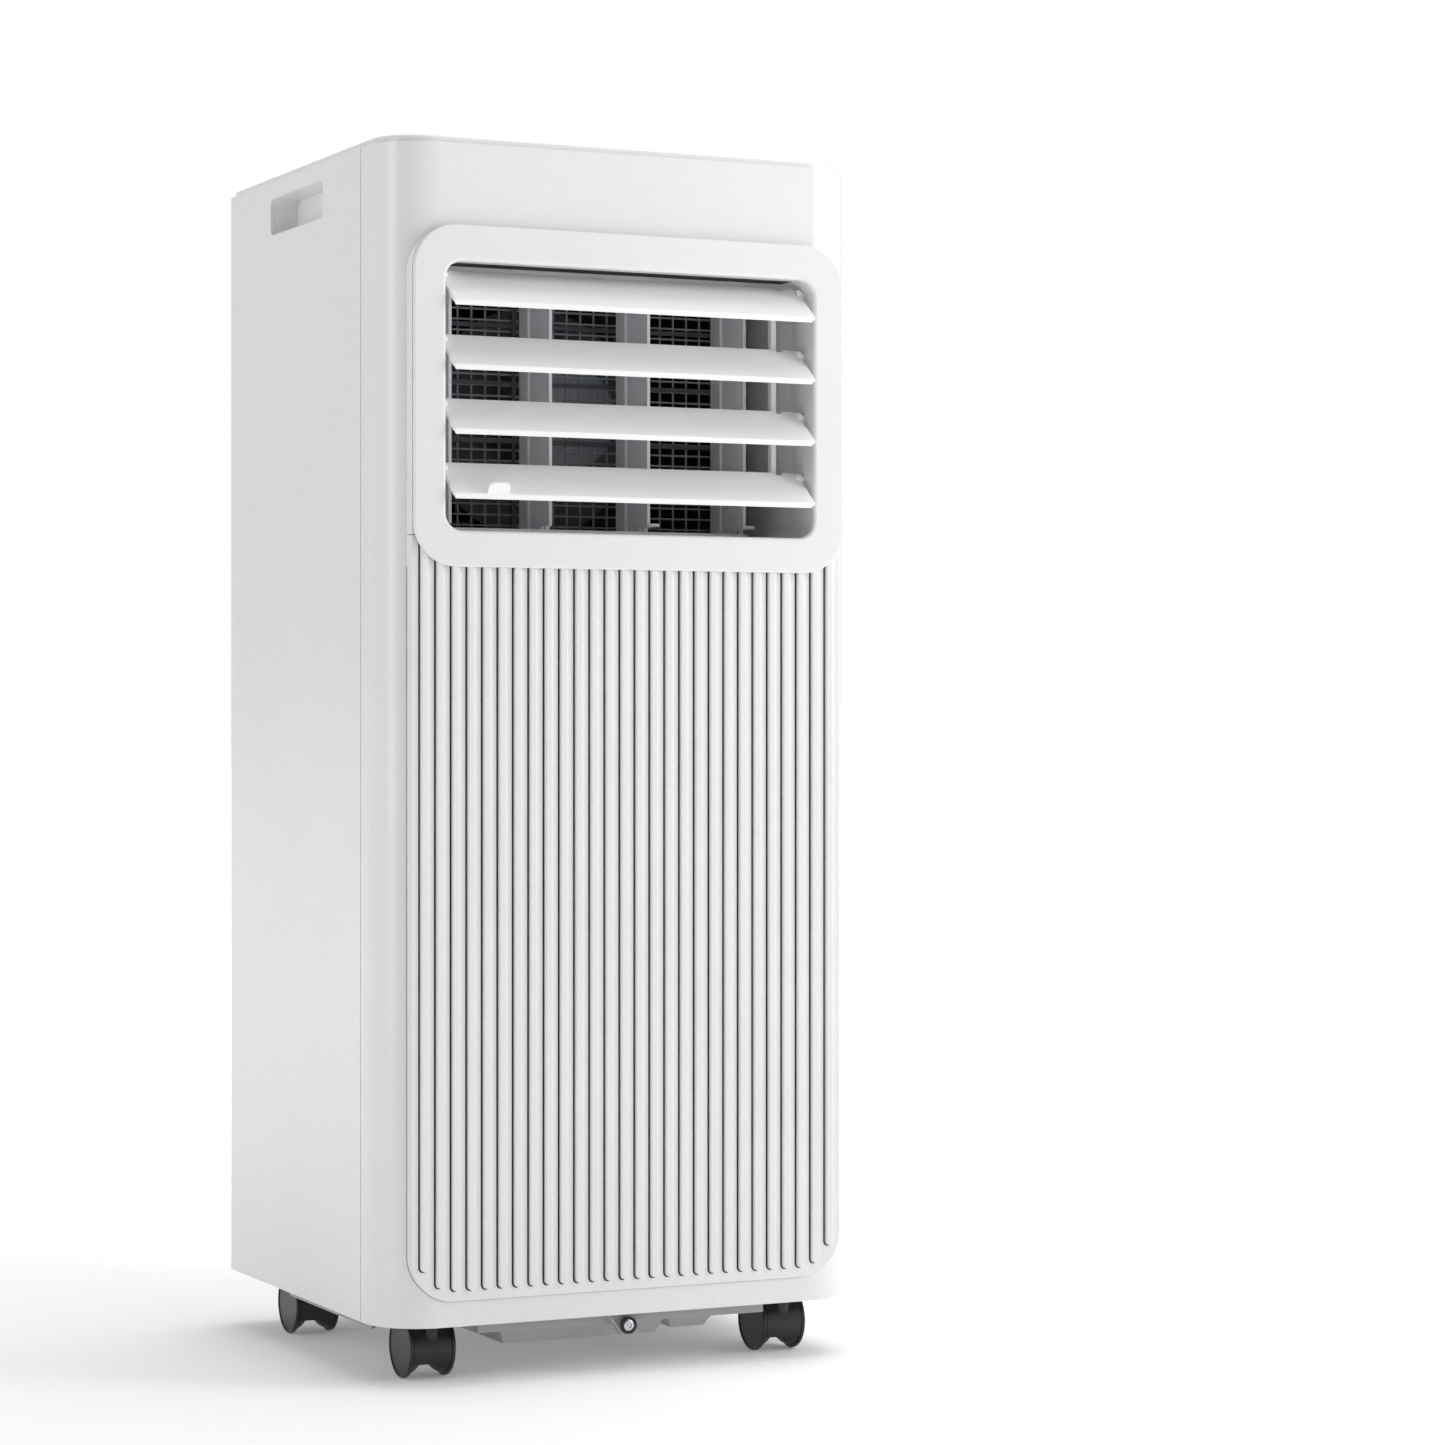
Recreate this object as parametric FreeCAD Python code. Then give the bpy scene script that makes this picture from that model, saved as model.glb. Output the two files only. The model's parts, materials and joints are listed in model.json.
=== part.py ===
"""Portable room air conditioner on four castors, one STEP file for each piece.

Millimetres. +Z is up, the front faces -Y, and the origin is on the floor under the middle of the
housing's footprint.
"""

import FreeCAD
import Part
import math
import os

V = FreeCAD.Vector

# ---- overall ---------------------------------------------------------------------------------
width = 291.0
depth = 270.0
ground_clearance = 33.0      # floor to the housing's lower edge
housing_height = 648.5       # housing's lower edge to the top edge of its walls
front_corner = 32.0          # radius of the two front vertical edges
rear_corner = 6.0
wall = 2.5
seam_setback = 39.5          # front plane to the seam between front housing and side panels
seam_gap = 0.8
slack = 0.3                  # gap between neighbouring pieces that must not touch
seat_gap = 0.05              # between curved faces that seat on each other

# ---- top caps --------------------------------------------------------------------------------
cap_height = 4.0
cap_inset = 3.0
cap_edge = 1.8
skirt_wall = 2.0
skirt_gap = 0.4              # skirt to the handle pockets below it
deck_width = 196.0
deck_depth = 52.0
deck_sink = 1.0
deck_setback = 14.0          # cap seam to the deck's front edge
button_radius = 6.5
button_pitch = 20.0
button_proud = 1.0           # above the deck
button_travel = 1.2
button_flange = 1.4
display_width = 62.0
display_height = 26.0
display_thickness = 1.4
board_thickness = 1.6
board_drop = 8.0             # cap underside to the board's upper face
button_names = ["power", "mode", "fan", "down", "up"]

# ---- side handles ----------------------------------------------------------------------------
handle_length = 91.0
handle_height = 21.5
handle_corner = 5.0
handle_depth = 17.0
handle_below_top = 10.0
handle_from_front = 101.0
cup_wall = 1.6

# ---- ribbed front panel ----------------------------------------------------------------------
panel_side_inset = 14.2
panel_bottom = 14.0          # above the housing's lower edge
panel_corner = 25.0
panel_proud = 1.5
rib_count = 28
rib_width = 4.7
rib_height = 2.0
rib_pitch = 9.18
rib_end_inset = 6.0          # panel's bottom edge to the ribs' lower ends

# ---- outlet frame ----------------------------------------------------------------------------
frame_bottom = 416.0         # above the housing's lower edge
frame_height = 187.0
frame_corner = 25.0
frame_proud = 6.0
frame_lip = 2.3              # thickness of the outer layer
frame_edge = 1.0
shadow_gap = 1.2             # between the outer layer and the base layer
shadow_depth = 2.5
rib_cover = 17.0             # how far the ribbed panel runs up under the outer layer
opening_width = 225.0
opening_height = 147.0
opening_corner = 9.5
opening_edge = 2.0
sleeve_wall = 2.2
sleeve_end = 17.0            # front plane to the sleeve's rear end

# ---- louvre blades ---------------------------------------------------------------------------
blade_count = 4
blade_pitch = 35.2
blade_chord = 30.5
blade_thickness = 2.0
blade_lip = 1.6
blade_side_gap = 2.2
blade_tilt = 38.0            # front edge below the rear edge, at rest
blade_heel = 5.0             # rear edge to the pivot
blade_rear_corner = 14.0
blade_top_gap = 6.9          # opening's upper edge to the first pivot
blade_front_reach = 12.0     # front plane to the blades' front edges
blade_pin = 1.8
tab_width = 12.6
tab_height = 8.0
tab_inset = 27.9             # opening's left end to the tab's middle
crank_radius = 12.0
crank_angle = 29.0           # crank pin below the pivot's level, towards the rear
crank_inset = 15.5           # opening's right end to the crank
crank_pin = 1.5
link_thickness = 3.0
link_width = 4.0
link_end = 2.8               # pin to the link's end
heel_notch = 3.0             # depth of the notch that the link passes
running = 0.08               # radial clearance of pins that turn

# ---- vertical vanes --------------------------------------------------------------------------
vane_count = 4
vane_margin = 21.0           # opening's end to the outer vane
vane_front = 42.0            # front plane to the vanes' front edges
vane_length = 44.0
vane_pivot_back = 30.0
vane_thickness = 1.8
vane_end_gap = 1.5
vane_pin = 2.0
vane_link_setback = 5.0
vane_link_height = 2.4
vane_lever = 8.0
vane_lever_half = 4.0

# ---- outlet duct and blower boxes ------------------------------------------------------------
duct_wall = 2.0
duct_margin = 1.0            # duct inside past the sleeve's inside
duct_flange = 6.0
duct_end = 88.0              # front plane to the duct's rear end
box_wall = 2.5
tray_top = 443.0
tray_thickness = 6.0
upper_box_top = 640.0
upper_box_rear = 92.0
wheel_radius = 68.0
wheel_blades = 30
wheel_rim = 9.0
wheel_plate = 2.0
wheel_end_gap = 8.0
hub_radius = 11.0
hub_length = 22.0
shaft_radius = 4.0
motor_radius = 31.0
motor_length = 40.0
inlet_radius = 58.0
grid_bar = 2.4
grid_pitch = 15.0
lower_box_half_width = 78.0
lower_box_bottom = 62.0
lower_box_front = 10.0
lower_box_rear = 85.0
lower_axis_height = 150.0
foot_half_width = 40.0
foot_thickness = 6.0

# ---- rear ------------------------------------------------------------------------------------
rear_return = 12.0           # how far the side panels wrap round the rear
flange_reach = 25.0
flange_thickness = 3.0
window_width = 210.0
upper_window = (446.0, 640.0)
lower_window = (76.0, 256.0)
grille_depth = 9.0
grille_border = 9.0
slat_height = 3.0
slat_pitch = 9.0
grille_proud = 1.5
mesh_thickness = 1.0
exhaust_height = 345.0
exhaust_inner = 61.0
exhaust_wall = 3.0
throat_step = 2.0            # the throat is this much narrower than the collar
exhaust_flange = 8.0
exhaust_proud = 12.0
flange_plate = 3.0
screw_head = 3.6
screw_head_height = 2.0
screw_shank = 1.9
screw_hole = 2.0
screw_length = 9.0
screw_heights = (70.0, 300.0, 430.0, 655.0)

# ---- coils, compressor, pipes ----------------------------------------------------------------
coil_half_width = 100.0
coil_depth = 24.0
coil_rear_gap = 15.0         # coil's rear face to the housing's rear plane
end_plate = 2.0
bend_radius = 9.0
tube_radius = 3.5
condenser_height = 200.0
evaporator_height = 196.0
compressor_x = -80.0
compressor_y = -45.0
compressor_radius = 45.0
compressor_height = 180.0
compressor_plate = 3.0
compressor_plate_radius = 50.0
foot_circle = 46.0
foot_radius = 8.0
foot_height = 18.0
foot_angles = (45.0, 165.0, 285.0)
pipe_radius = 4.0
pipe_bend = 14.0

# ---- base pan --------------------------------------------------------------------------------
pan_inset = 10.0
pan_wall = 3.0
pan_drop = 6.0               # pan's underside below the housing's lower edge
pan_top = 47.0
sump_main = (-70.0, 33.0, 17.0)      # left side, right side, height of the underside
sump_small = (33.0, 63.5, 19.0)
sump_front = -112.0
sump_rear = 30.0
sump_slope = 5.0
tab_top_width = 26.0
tab_tip_height = 20.0
tab_tip_radius = 6.5
tab_thickness = 3.0
drain_x = 96.0
drain_height = 56.0
drain_inner = 7.0
drain_wall = 2.0
drain_proud = 5.0
plug_head = 10.5
cord_inlet_x = -96.0
cord_inlet_height = 62.0
cord_inlet_radius = 12.0
cord_hole = 4.5

# ---- castors ---------------------------------------------------------------------------------
castor_front_side = 37.0     # housing's side to the front castors' swivel axis
castor_rear_side = 32.0
castor_front_inset = 33.0
castor_rear_inset = 62.5
castor_trail = 8.0
castor_wheel = 17.5
castor_half_width = 13.5
castor_hood_step = 0.2       # hood radius below the wheel's
castor_hood_half = 11.0
hood_wall = 1.0
castor_web_half = 2.0        # plate in the hood's middle that holds the axle
hood_open_behind = 6.0       # axle to the hood's open rear, below the top
castor_hood_floor = 9.0      # floor to the hood's lower edge
castor_pin = 2.5
wheel_edge = 1.0
hub_radius = 7.5             # wheel's radius at the web
stem_radius = 4.0
stem_boss = 6.5
boss_pill = 4.2
boss_pill_forward = 13.3
boss_pill_bottom = 20.5
boss_top = 60.0
well_radius = 31.0
well_clearance = 3.0         # roof thickness and wall thickness of a castor well
socket_radius = 9.0

# ---- worked out ------------------------------------------------------------------------------
half_width = width / 2
half_depth = depth / 2
front_plane = -half_depth
rear_plane = half_depth
wall_bottom = ground_clearance
wall_top = ground_clearance + housing_height
seam_y = front_plane + seam_setback
skirt_height = handle_below_top - cup_wall - skirt_gap
cap_top = wall_top + cap_height
panel_half = half_width - panel_side_inset
frame_low = ground_clearance + frame_bottom
frame_high = frame_low + frame_height
frame_face = front_plane - frame_proud
opening_half = opening_width / 2
opening_low = (frame_low + frame_high - opening_height) / 2
opening_high = opening_low + opening_height
panel_high = frame_low + rib_cover
tab_offset = opening_width / 2 - tab_inset
crank_x = opening_width / 2 - crank_inset
vane_spacing = (opening_width - 2 * vane_margin) / (vane_count - 1)
castor_front_x = width / 2 - castor_front_side
castor_rear_x = width / 2 - castor_rear_side
castor_front_y = castor_front_inset - depth / 2
castor_rear_y = depth / 2 - castor_rear_inset
castor_hood = castor_wheel - castor_hood_step
dome_radius = castor_hood - hood_wall - slack
crank_reach = crank_radius * math.cos(math.radians(crank_angle))
crank_drop = crank_radius * math.sin(math.radians(crank_angle))
sleeve_rear = front_plane + sleeve_end
duct_half = opening_half + duct_margin
duct_low = opening_low - duct_margin
duct_high = opening_high + duct_margin
duct_rear = front_plane + duct_end
upper_axis_height = (tray_top + upper_box_top) / 2
coil_rear = rear_plane - coil_rear_gap
coil_front = coil_rear - coil_depth
pan_floor = ground_clearance - pan_drop
tab_front = front_plane + pan_inset - tab_thickness
tab_tip = tab_tip_height + tab_tip_radius


# ---- shape helpers ---------------------------------------------------------------------------
def box(x0, x1, y0, y1, z0, z1):
    return Part.makeBox(x1 - x0, y1 - y0, z1 - z0, V(x0, y0, z0))


def rod(start, direction, radius, length):
    return Part.makeCylinder(radius, length, V(*start), V(*direction))


def rounded_face(u0, u1, v0, v1, radii):
    """Rectangle in the XY plane; radii start at (u0, v0) and go anticlockwise."""
    corners = [(u0, v0, 1, 1), (u1, v0, -1, 1), (u1, v1, -1, -1), (u0, v1, 1, -1)]
    starts, ends, mids = [], [], []
    for index, ((u, v, su, sv), radius) in enumerate(zip(corners, radii)):
        along_u = V(u + su * radius, v, 0)
        along_v = V(u, v + sv * radius, 0)
        reach = radius * (1 - math.sqrt(0.5))
        mids.append(V(u + su * reach, v + sv * reach, 0))
        first, last = (along_v, along_u) if index % 2 == 0 else (along_u, along_v)
        starts.append(first)
        ends.append(last)
    edges = []
    for index in range(4):
        if radii[index] > 0:
            edges.append(Part.Arc(starts[index], mids[index], ends[index]).toShape())
        following = starts[(index + 1) % 4]
        if (following - ends[index]).Length > 1e-6:
            edges.append(Part.LineSegment(ends[index], following).toShape())
    return Part.Face(Part.Wire(edges))


def plate_z(u0, u1, v0, v1, radii, z0, z1):
    face = rounded_face(u0, u1, v0, v1, radii)
    face.translate(V(0, 0, z0))
    return face.extrude(V(0, 0, z1 - z0))


def plate_y(x0, x1, z0, z1, radii, y0, y1):
    """Rounded rectangle seen from the front, running from y0 to y1."""
    solid = plate_z(x0, x1, z0, z1, radii, -y1, -y0)
    solid.rotate(V(0, 0, 0), V(1, 0, 0), 90)
    return solid


def plate_x(y0, y1, z0, z1, radii, x0, x1):
    """Rounded rectangle seen from the side, running from x0 to x1."""
    solid = plate_z(y0, y1, z0, z1, radii, x0, x1)
    solid.rotate(V(0, 0, 0), V(1, 1, 1), 120)
    return solid


def body_plan(inset, z0, z1):
    """The housing's footprint, set in by the given amount."""
    front = max(front_corner - inset, 1.0)
    rear = max(rear_corner - inset, 1.0)
    return plate_z(
        -half_width + inset, half_width - inset, front_plane + inset, rear_plane - inset,
        (front, front, rear, rear), z0, z1,
    )


def prism_x(points, x0, x1):
    """Polygon of (y, z) points running from x0 to x1."""
    corners = [V(x0, y, z) for y, z in points]
    face = Part.Face(Part.makePolygon(corners + corners[:1]))
    return face.extrude(V(x1 - x0, 0, 0))


def prism_y(points, y0, y1):
    """Polygon of (x, z) points running from y0 to y1."""
    corners = [V(x, y0, z) for x, z in points]
    face = Part.Face(Part.makePolygon(corners + corners[:1]))
    return face.extrude(V(0, y1 - y0, 0))


def edges_at(solid, axis, value, tolerance=0.05):
    """Edges that lie wholly in the plane where the axis has the value."""
    low, high = axis + "Min", axis + "Max"
    found = []
    for edge in solid.Edges:
        bounds = edge.BoundBox
        if abs(getattr(bounds, low) - value) < tolerance and abs(getattr(bounds, high) - value) < tolerance:
            found.append(edge)
    return found


def fuse(shapes):
    first, rest = shapes[0], shapes[1:]
    return first.fuse(rest).removeSplitter() if rest else first


def mirrored(shape):
    return shape.mirror(V(0, 0, 0), V(1, 0, 0))


def save(name, *solids):
    shape = solids[0] if len(solids) == 1 else Part.Compound(list(solids))
    pieces = [piece for piece in shape.Solids]
    if not pieces or not all(piece.isValid() for piece in pieces):
        raise ValueError(name + " has no valid solid")
    (pieces[0] if len(pieces) == 1 else Part.Compound(pieces)).exportStep("parts/" + name + ".step")
    print(name, len(pieces))


# ---- shell -----------------------------------------------------------------------------------
def front_housing():
    shell = body_plan(0, wall_bottom, wall_top).cut(body_plan(wall, wall_bottom - 1, wall_top + 1))
    shell = shell.common(box(-width, width, -depth, seam_y - seam_gap / 2, 0, 2 * wall_top))
    tongue = body_plan(wall, pan_top + slack, wall_top - skirt_height - slack).cut(
        body_plan(wall + skirt_wall, wall_bottom, wall_top)
    )
    tongue = tongue.common(box(-width, width, seam_y - 6, seam_y + 8, 0, 2 * wall_top))
    lining = body_plan(wall / 2, pan_top + slack, wall_top - skirt_height - slack).cut(
        body_plan(wall + skirt_wall, wall_bottom, wall_top)
    )
    lining = lining.common(box(-width, width, seam_y - 6, seam_y - seam_gap / 2, 0, 2 * wall_top))
    sleeve = opening_half + sleeve_wall + slack
    window = plate_y(
        -sleeve, sleeve, opening_low - sleeve_wall - slack, opening_high + sleeve_wall + slack,
        [opening_corner + sleeve_wall + slack] * 4, front_plane - 5, front_plane + 10,
    )
    return fuse([shell, tongue, lining]).cut(window)


def handle_profile(grow, x0, x1):
    front = front_plane + handle_from_front
    high = wall_top - handle_below_top
    return plate_x(
        front - grow, front + handle_length + grow, high - handle_height - grow, high + grow,
        [handle_corner + grow] * 4, x0, x1,
    )


def screw_spots():
    x = half_width - flange_reach + 6
    return [(side * x, height) for height in screw_heights for side in (-1, 1)]


def side_panel():
    """The left panel; the right one is its mirror image."""
    shell = body_plan(0, wall_bottom, wall_top).cut(body_plan(wall, wall_bottom - 1, wall_top + 1))
    shell = shell.common(
        box(-width, -half_width + rear_return, seam_y + seam_gap / 2, depth, 0, 2 * wall_top)
    )
    flange = box(
        -half_width + wall / 2, -half_width + flange_reach,
        rear_plane - wall - flange_thickness, rear_plane - wall,
        wall_bottom + 18, wall_top - skirt_height - 4,
    )
    panel = fuse([shell, flange])
    panel = panel.cut(handle_profile(0, -half_width - 5, -half_width + wall + 1))
    for x, height in screw_spots():
        panel = panel.cut(rod((x, rear_plane - 20, height), (0, 1, 0), screw_hole, 30))
    return panel


def handle_cup():
    """The finger pocket behind the left panel, closed at its inner end."""
    face = -half_width + wall
    outer = handle_profile(cup_wall, face, face + handle_depth - wall + cup_wall)
    inner = handle_profile(0, face - 1, face + handle_depth - wall)
    return outer.cut(inner)


def rear_panel():
    x = half_width - rear_return - seam_gap / 2
    panel = box(-x, x, rear_plane - wall, rear_plane, wall_bottom, wall_top)
    for low, high in (upper_window, lower_window):
        panel = panel.cut(
            plate_y(-window_width / 2, window_width / 2, low, high, [6.0] * 4,
                    rear_plane - 10, rear_plane + 5)
        )
    holes = [
        (0, exhaust_height, exhaust_inner + exhaust_wall + slack),
        (drain_x, drain_height, drain_inner + drain_wall + slack),
        (cord_inlet_x, cord_inlet_height, cord_hole + 2 + slack),
    ]
    holes += [(x, height, screw_hole) for x, height in screw_spots()]
    for x, height, radius in holes:
        panel = panel.cut(rod((x, rear_plane - 10, height), (0, 1, 0), radius, 20))
    return panel


def screw(x, y, z, outward):
    """Pan-head screw whose head stands on the face at y; outward is -1 or 1 along Y."""
    head = rod((x, y, z), (0, outward, 0), screw_head, screw_head_height)
    head = head.makeFillet(0.9, edges_at(head, "Y", y + outward * screw_head_height))
    shank = rod((x, y, z), (0, -outward, 0), screw_shank, screw_length)
    slot_depth = 1.1
    top = y + outward * screw_head_height
    low, high = sorted((top - outward * slot_depth, top + outward))
    cross = box(x - 2.1, x + 2.1, low, high, z - 0.5, z + 0.5).fuse(
        box(x - 0.5, x + 0.5, low, high, z - 2.1, z + 2.1)
    )
    return head.fuse(shank).removeSplitter().cut(cross)


# ---- top -------------------------------------------------------------------------------------
def cap_half(y0, y1):
    plate = body_plan(cap_inset, wall_top, cap_top)
    plate = plate.makeFillet(cap_edge, edges_at(plate, "Z", cap_top))
    skirt = body_plan(wall + slack, wall_top - skirt_height, wall_top + 1).cut(
        body_plan(wall + slack + skirt_wall, wall_top - skirt_height - 1, wall_top + 2)
    )
    whole = plate.fuse(skirt).removeSplitter()
    return whole.common(box(-width, width, y0, y1, 0, 2 * wall_top))


def deck_front():
    return seam_y + deck_setback


def button_spots():
    first = -deck_width / 2 + 14
    y = deck_front() + deck_depth / 2
    return [(first + index * button_pitch, y) for index in range(len(button_names))]


def display_place():
    x0 = deck_width / 2 - 14 - display_width
    y0 = deck_front() + (deck_depth - display_height) / 2
    return x0, x0 + display_width, y0, y0 + display_height


def top_front_cap():
    return cap_half(-depth, seam_y - seam_gap / 2)


def top_rear_cap():
    cap = cap_half(seam_y + seam_gap / 2, depth)
    front = deck_front()
    cap = cap.cut(
        plate_z(-deck_width / 2, deck_width / 2, front, front + deck_depth, [8.0] * 4,
                cap_top - deck_sink, cap_top + 5)
    )
    for x, y in button_spots():
        cap = cap.cut(rod((x, y, wall_top - 5), (0, 0, 1), button_radius + slack, 20))
    x0, x1, y0, y1 = display_place()
    cap = cap.cut(plate_z(x0, x1, y0, y1, [2.0] * 4, cap_top - deck_sink - display_thickness, cap_top + 1))
    for x, y in board_posts():
        cap = cap.fuse(rod((x, y, wall_top - board_drop), (0, 0, 1), 3.0, board_drop + 0.5))
    return cap.removeSplitter()


def board_posts():
    x = deck_width / 2 - 5
    front = deck_front()
    return [(sx * x, y) for sx in (-1, 1) for y in (front + 5, front + deck_depth - 5)]


def control_board():
    front = deck_front()
    top = wall_top - board_drop
    board = box(-deck_width / 2, deck_width / 2, front, front + deck_depth, top - board_thickness, top)
    switches = [
        box(x - 3, x + 3, y - 3, y + 3, top - 0.1, wall_top - button_flange - slack - button_travel - 0.5)
        for x, y in button_spots()
    ]
    return fuse([board] + switches)


def push_button(x, y):
    deck = cap_top - deck_sink
    head = rod((x, y, wall_top - slack - button_flange), (0, 0, 1), button_radius,
               deck + button_proud - wall_top + slack + button_flange)
    head = head.makeFillet(0.6, edges_at(head, "Z", deck + button_proud))
    flange = rod((x, y, wall_top - slack - button_flange), (0, 0, 1), button_radius + 1.6, button_flange)
    return head.fuse(flange).removeSplitter()


def display_window():
    x0, x1, y0, y1 = display_place()
    high = cap_top - deck_sink
    return plate_z(x0 + 0.1, x1 - 0.1, y0 + 0.1, y1 - 0.1, [1.9] * 4, high - display_thickness, high)


# ---- front panel and outlet frame ------------------------------------------------------------
def rib_foot(x):
    """Height of a rib's lower end: it follows the panel's rounded lower corners."""
    low = wall_bottom + panel_bottom + rib_end_inset
    into_corner = abs(x) - (panel_half - panel_corner)
    if into_corner <= 0:
        return low
    inner = panel_corner - rib_end_inset
    into_corner = min(into_corner, inner * 0.92)
    return low + inner - math.sqrt(inner ** 2 - into_corner ** 2)


def rib(x):
    radius = rib_width / 2
    foot = rib_foot(x) + radius
    face = front_plane - panel_proud
    bar = Part.makeCylinder(radius, panel_high - 2 - foot, V(x, face, foot), V(0, 0, 1))
    end = Part.makeSphere(radius, V(x, face, foot))
    whole = bar.fuse(end)
    squeeze = FreeCAD.Matrix()
    squeeze.A22 = rib_height / radius
    squeeze.A24 = face * (1 - rib_height / radius)
    whole = whole.transformGeometry(squeeze)
    return whole.common(box(x - radius, x + radius, face - rib_height - 1, face + 0.6, 0, wall_top))


def rib_panel():
    low = wall_bottom + panel_bottom
    face = front_plane - panel_proud
    plate = plate_y(-panel_half, panel_half, low, panel_high, (panel_corner, panel_corner, 0, 0),
                    face, front_plane + front_corner)
    plate = plate.cut(body_plan(-seat_gap, 0, 2 * wall_top))
    rim = [edge for edge in edges_at(plate, "Y", face) if edge.BoundBox.ZMin < panel_high - 1]
    plate = plate.makeFillet(0.6, rim)
    first = -(rib_count - 1) / 2 * rib_pitch
    ribs = [rib(first + index * rib_pitch) for index in range(rib_count)]
    return plate.fuse(ribs).removeSplitter()


def opening_cut(grow, y0, y1):
    return plate_y(
        -opening_half - grow, opening_half + grow, opening_low - grow, opening_high + grow,
        [opening_corner + grow] * 4, y0, y1,
    )


def louvre_frame():
    lip = plate_y(-panel_half, panel_half, frame_low, frame_high, [frame_corner] * 4,
                  frame_face, frame_face + frame_lip)
    lip = lip.makeFillet(frame_edge, edges_at(lip, "Y", frame_face))
    inset = panel_half - shadow_depth
    base_face = front_plane - panel_proud - 1.0
    groove_low = panel_high + 0.5
    core = plate_y(-inset, inset, groove_low, frame_high - shadow_depth,
                   (0, 0, frame_corner - shadow_depth, frame_corner - shadow_depth),
                   frame_face + frame_lip - 0.1, base_face + 0.1)
    base = plate_y(-panel_half, panel_half, groove_low, frame_high, (0, 0, frame_corner, frame_corner),
                   base_face, front_plane + front_corner)
    base = base.cut(body_plan(-seat_gap, 0, 2 * wall_top))
    sleeve = opening_cut(sleeve_wall, frame_face + frame_lip - 0.1, sleeve_rear)
    frame = fuse([lip, core, base, sleeve]).cut(opening_cut(0, frame_face - 5, sleeve_rear + 5))
    rim = [
        edge for edge in edges_at(frame, "Y", frame_face)
        if abs(edge.BoundBox.Center.x) < opening_half + 1 and edge.BoundBox.ZMax < opening_high + 1
        and edge.BoundBox.ZMin > opening_low - 1 and edge.BoundBox.XMax < opening_half + 1
        and edge.BoundBox.XMin > -opening_half - 1
    ]
    frame = frame.makeFillet(opening_edge, rim)
    for height in blade_heights():
        frame = frame.cut(
            rod((-half_width, blade_pivot_y(), height), (1, 0, 0), blade_pin + running, width)
        )
    return frame


# ---- louvre blades ---------------------------------------------------------------------------
def blade_heights():
    return [opening_high - blade_top_gap - index * blade_pitch for index in range(blade_count)]


def blade_pivot_y():
    reach = (blade_chord - blade_heel) * math.cos(math.radians(blade_tilt))
    return front_plane - blade_front_reach + reach


def blade(height, tabbed):
    """A blade drawn level about its pivot, then tilted; its front edge has a small lip."""
    half = opening_half - blade_side_gap
    front, heel = -(blade_chord - blade_heel), blade_heel
    radius = blade_thickness / 2
    plate = plate_z(-half, half, front, heel, (1.5, 1.5, blade_rear_corner / 3, blade_rear_corner / 3),
                    -radius, radius)
    plate = plate.makeFillet(radius * 0.9, edges_at(plate, "Z", radius))
    lip = box(-half + 1.5, half - 1.5, front + 0.4, front + 2.2, -radius - blade_lip, 0)
    pins = rod((-half - blade_side_gap - sleeve_wall + 0.4, 0, 0), (1, 0, 0), blade_pin,
               2 * (half + blade_side_gap + sleeve_wall - 0.4))
    pins = pins.cut(box(-half + 3, half - 3, -5, 5, -5, 5))
    ears = [
        rod((x, 0, 0), (1, 0, 0), blade_pin + 1.2, 3.0) for x in (-half, half - 3.0)
    ]
    shapes = [plate, lip, pins] + ears
    if tabbed:
        tab = plate_y(-tab_offset - tab_width / 2, -tab_offset + tab_width / 2, 0, tab_height,
                      (0, 0, 3.5, 3.5), front + 0.6, front + 2.4)
        shapes.append(tab)
    notch = box(crank_x - 1, crank_x - 1 + link_thickness + 3 * slack, heel - heel_notch, heel + 5, -5, 5)
    whole = fuse(shapes).cut(notch)
    whole.rotate(V(0, 0, 0), V(1, 0, 0), blade_tilt)
    boss = link_end - 0.4
    crank = prism_x(
        [(-6, -4.8), (-6, -8.5), (crank_reach - 1, -crank_drop - boss), (crank_reach + boss, -crank_drop),
         (crank_reach, -crank_drop + boss), (2, 1)],
        crank_x - 3, crank_x - 1,
    )
    pin = rod((crank_x - 2, crank_reach, -crank_drop), (1, 0, 0), crank_pin, link_thickness + 2.5)
    whole = fuse([whole, crank, pin])
    whole.translate(V(0, blade_pivot_y(), height))
    return whole


def louvre_link():
    heights = [height - crank_drop for height in blade_heights()]
    y = blade_pivot_y() + crank_reach
    low, high = heights[-1], heights[0]
    half = link_width / 2
    bar = plate_x(y - half, y + half, low - link_end, high + link_end, [half - 0.1] * 4,
                  crank_x - 1 + slack, crank_x - 1 + slack + link_thickness)
    for height in heights:
        bar = bar.cut(rod((crank_x - 5, y, height), (1, 0, 0), crank_pin + running, 12))
    return bar


# ---- vanes and duct --------------------------------------------------------------------------
def vane_places():
    first = -(vane_count - 1) / 2 * vane_spacing
    return [first + index * vane_spacing for index in range(vane_count)]


def vane_pivot_y():
    return front_plane + vane_front + vane_pivot_back


def vane_link_y():
    return front_plane + vane_front + vane_link_setback


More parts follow.
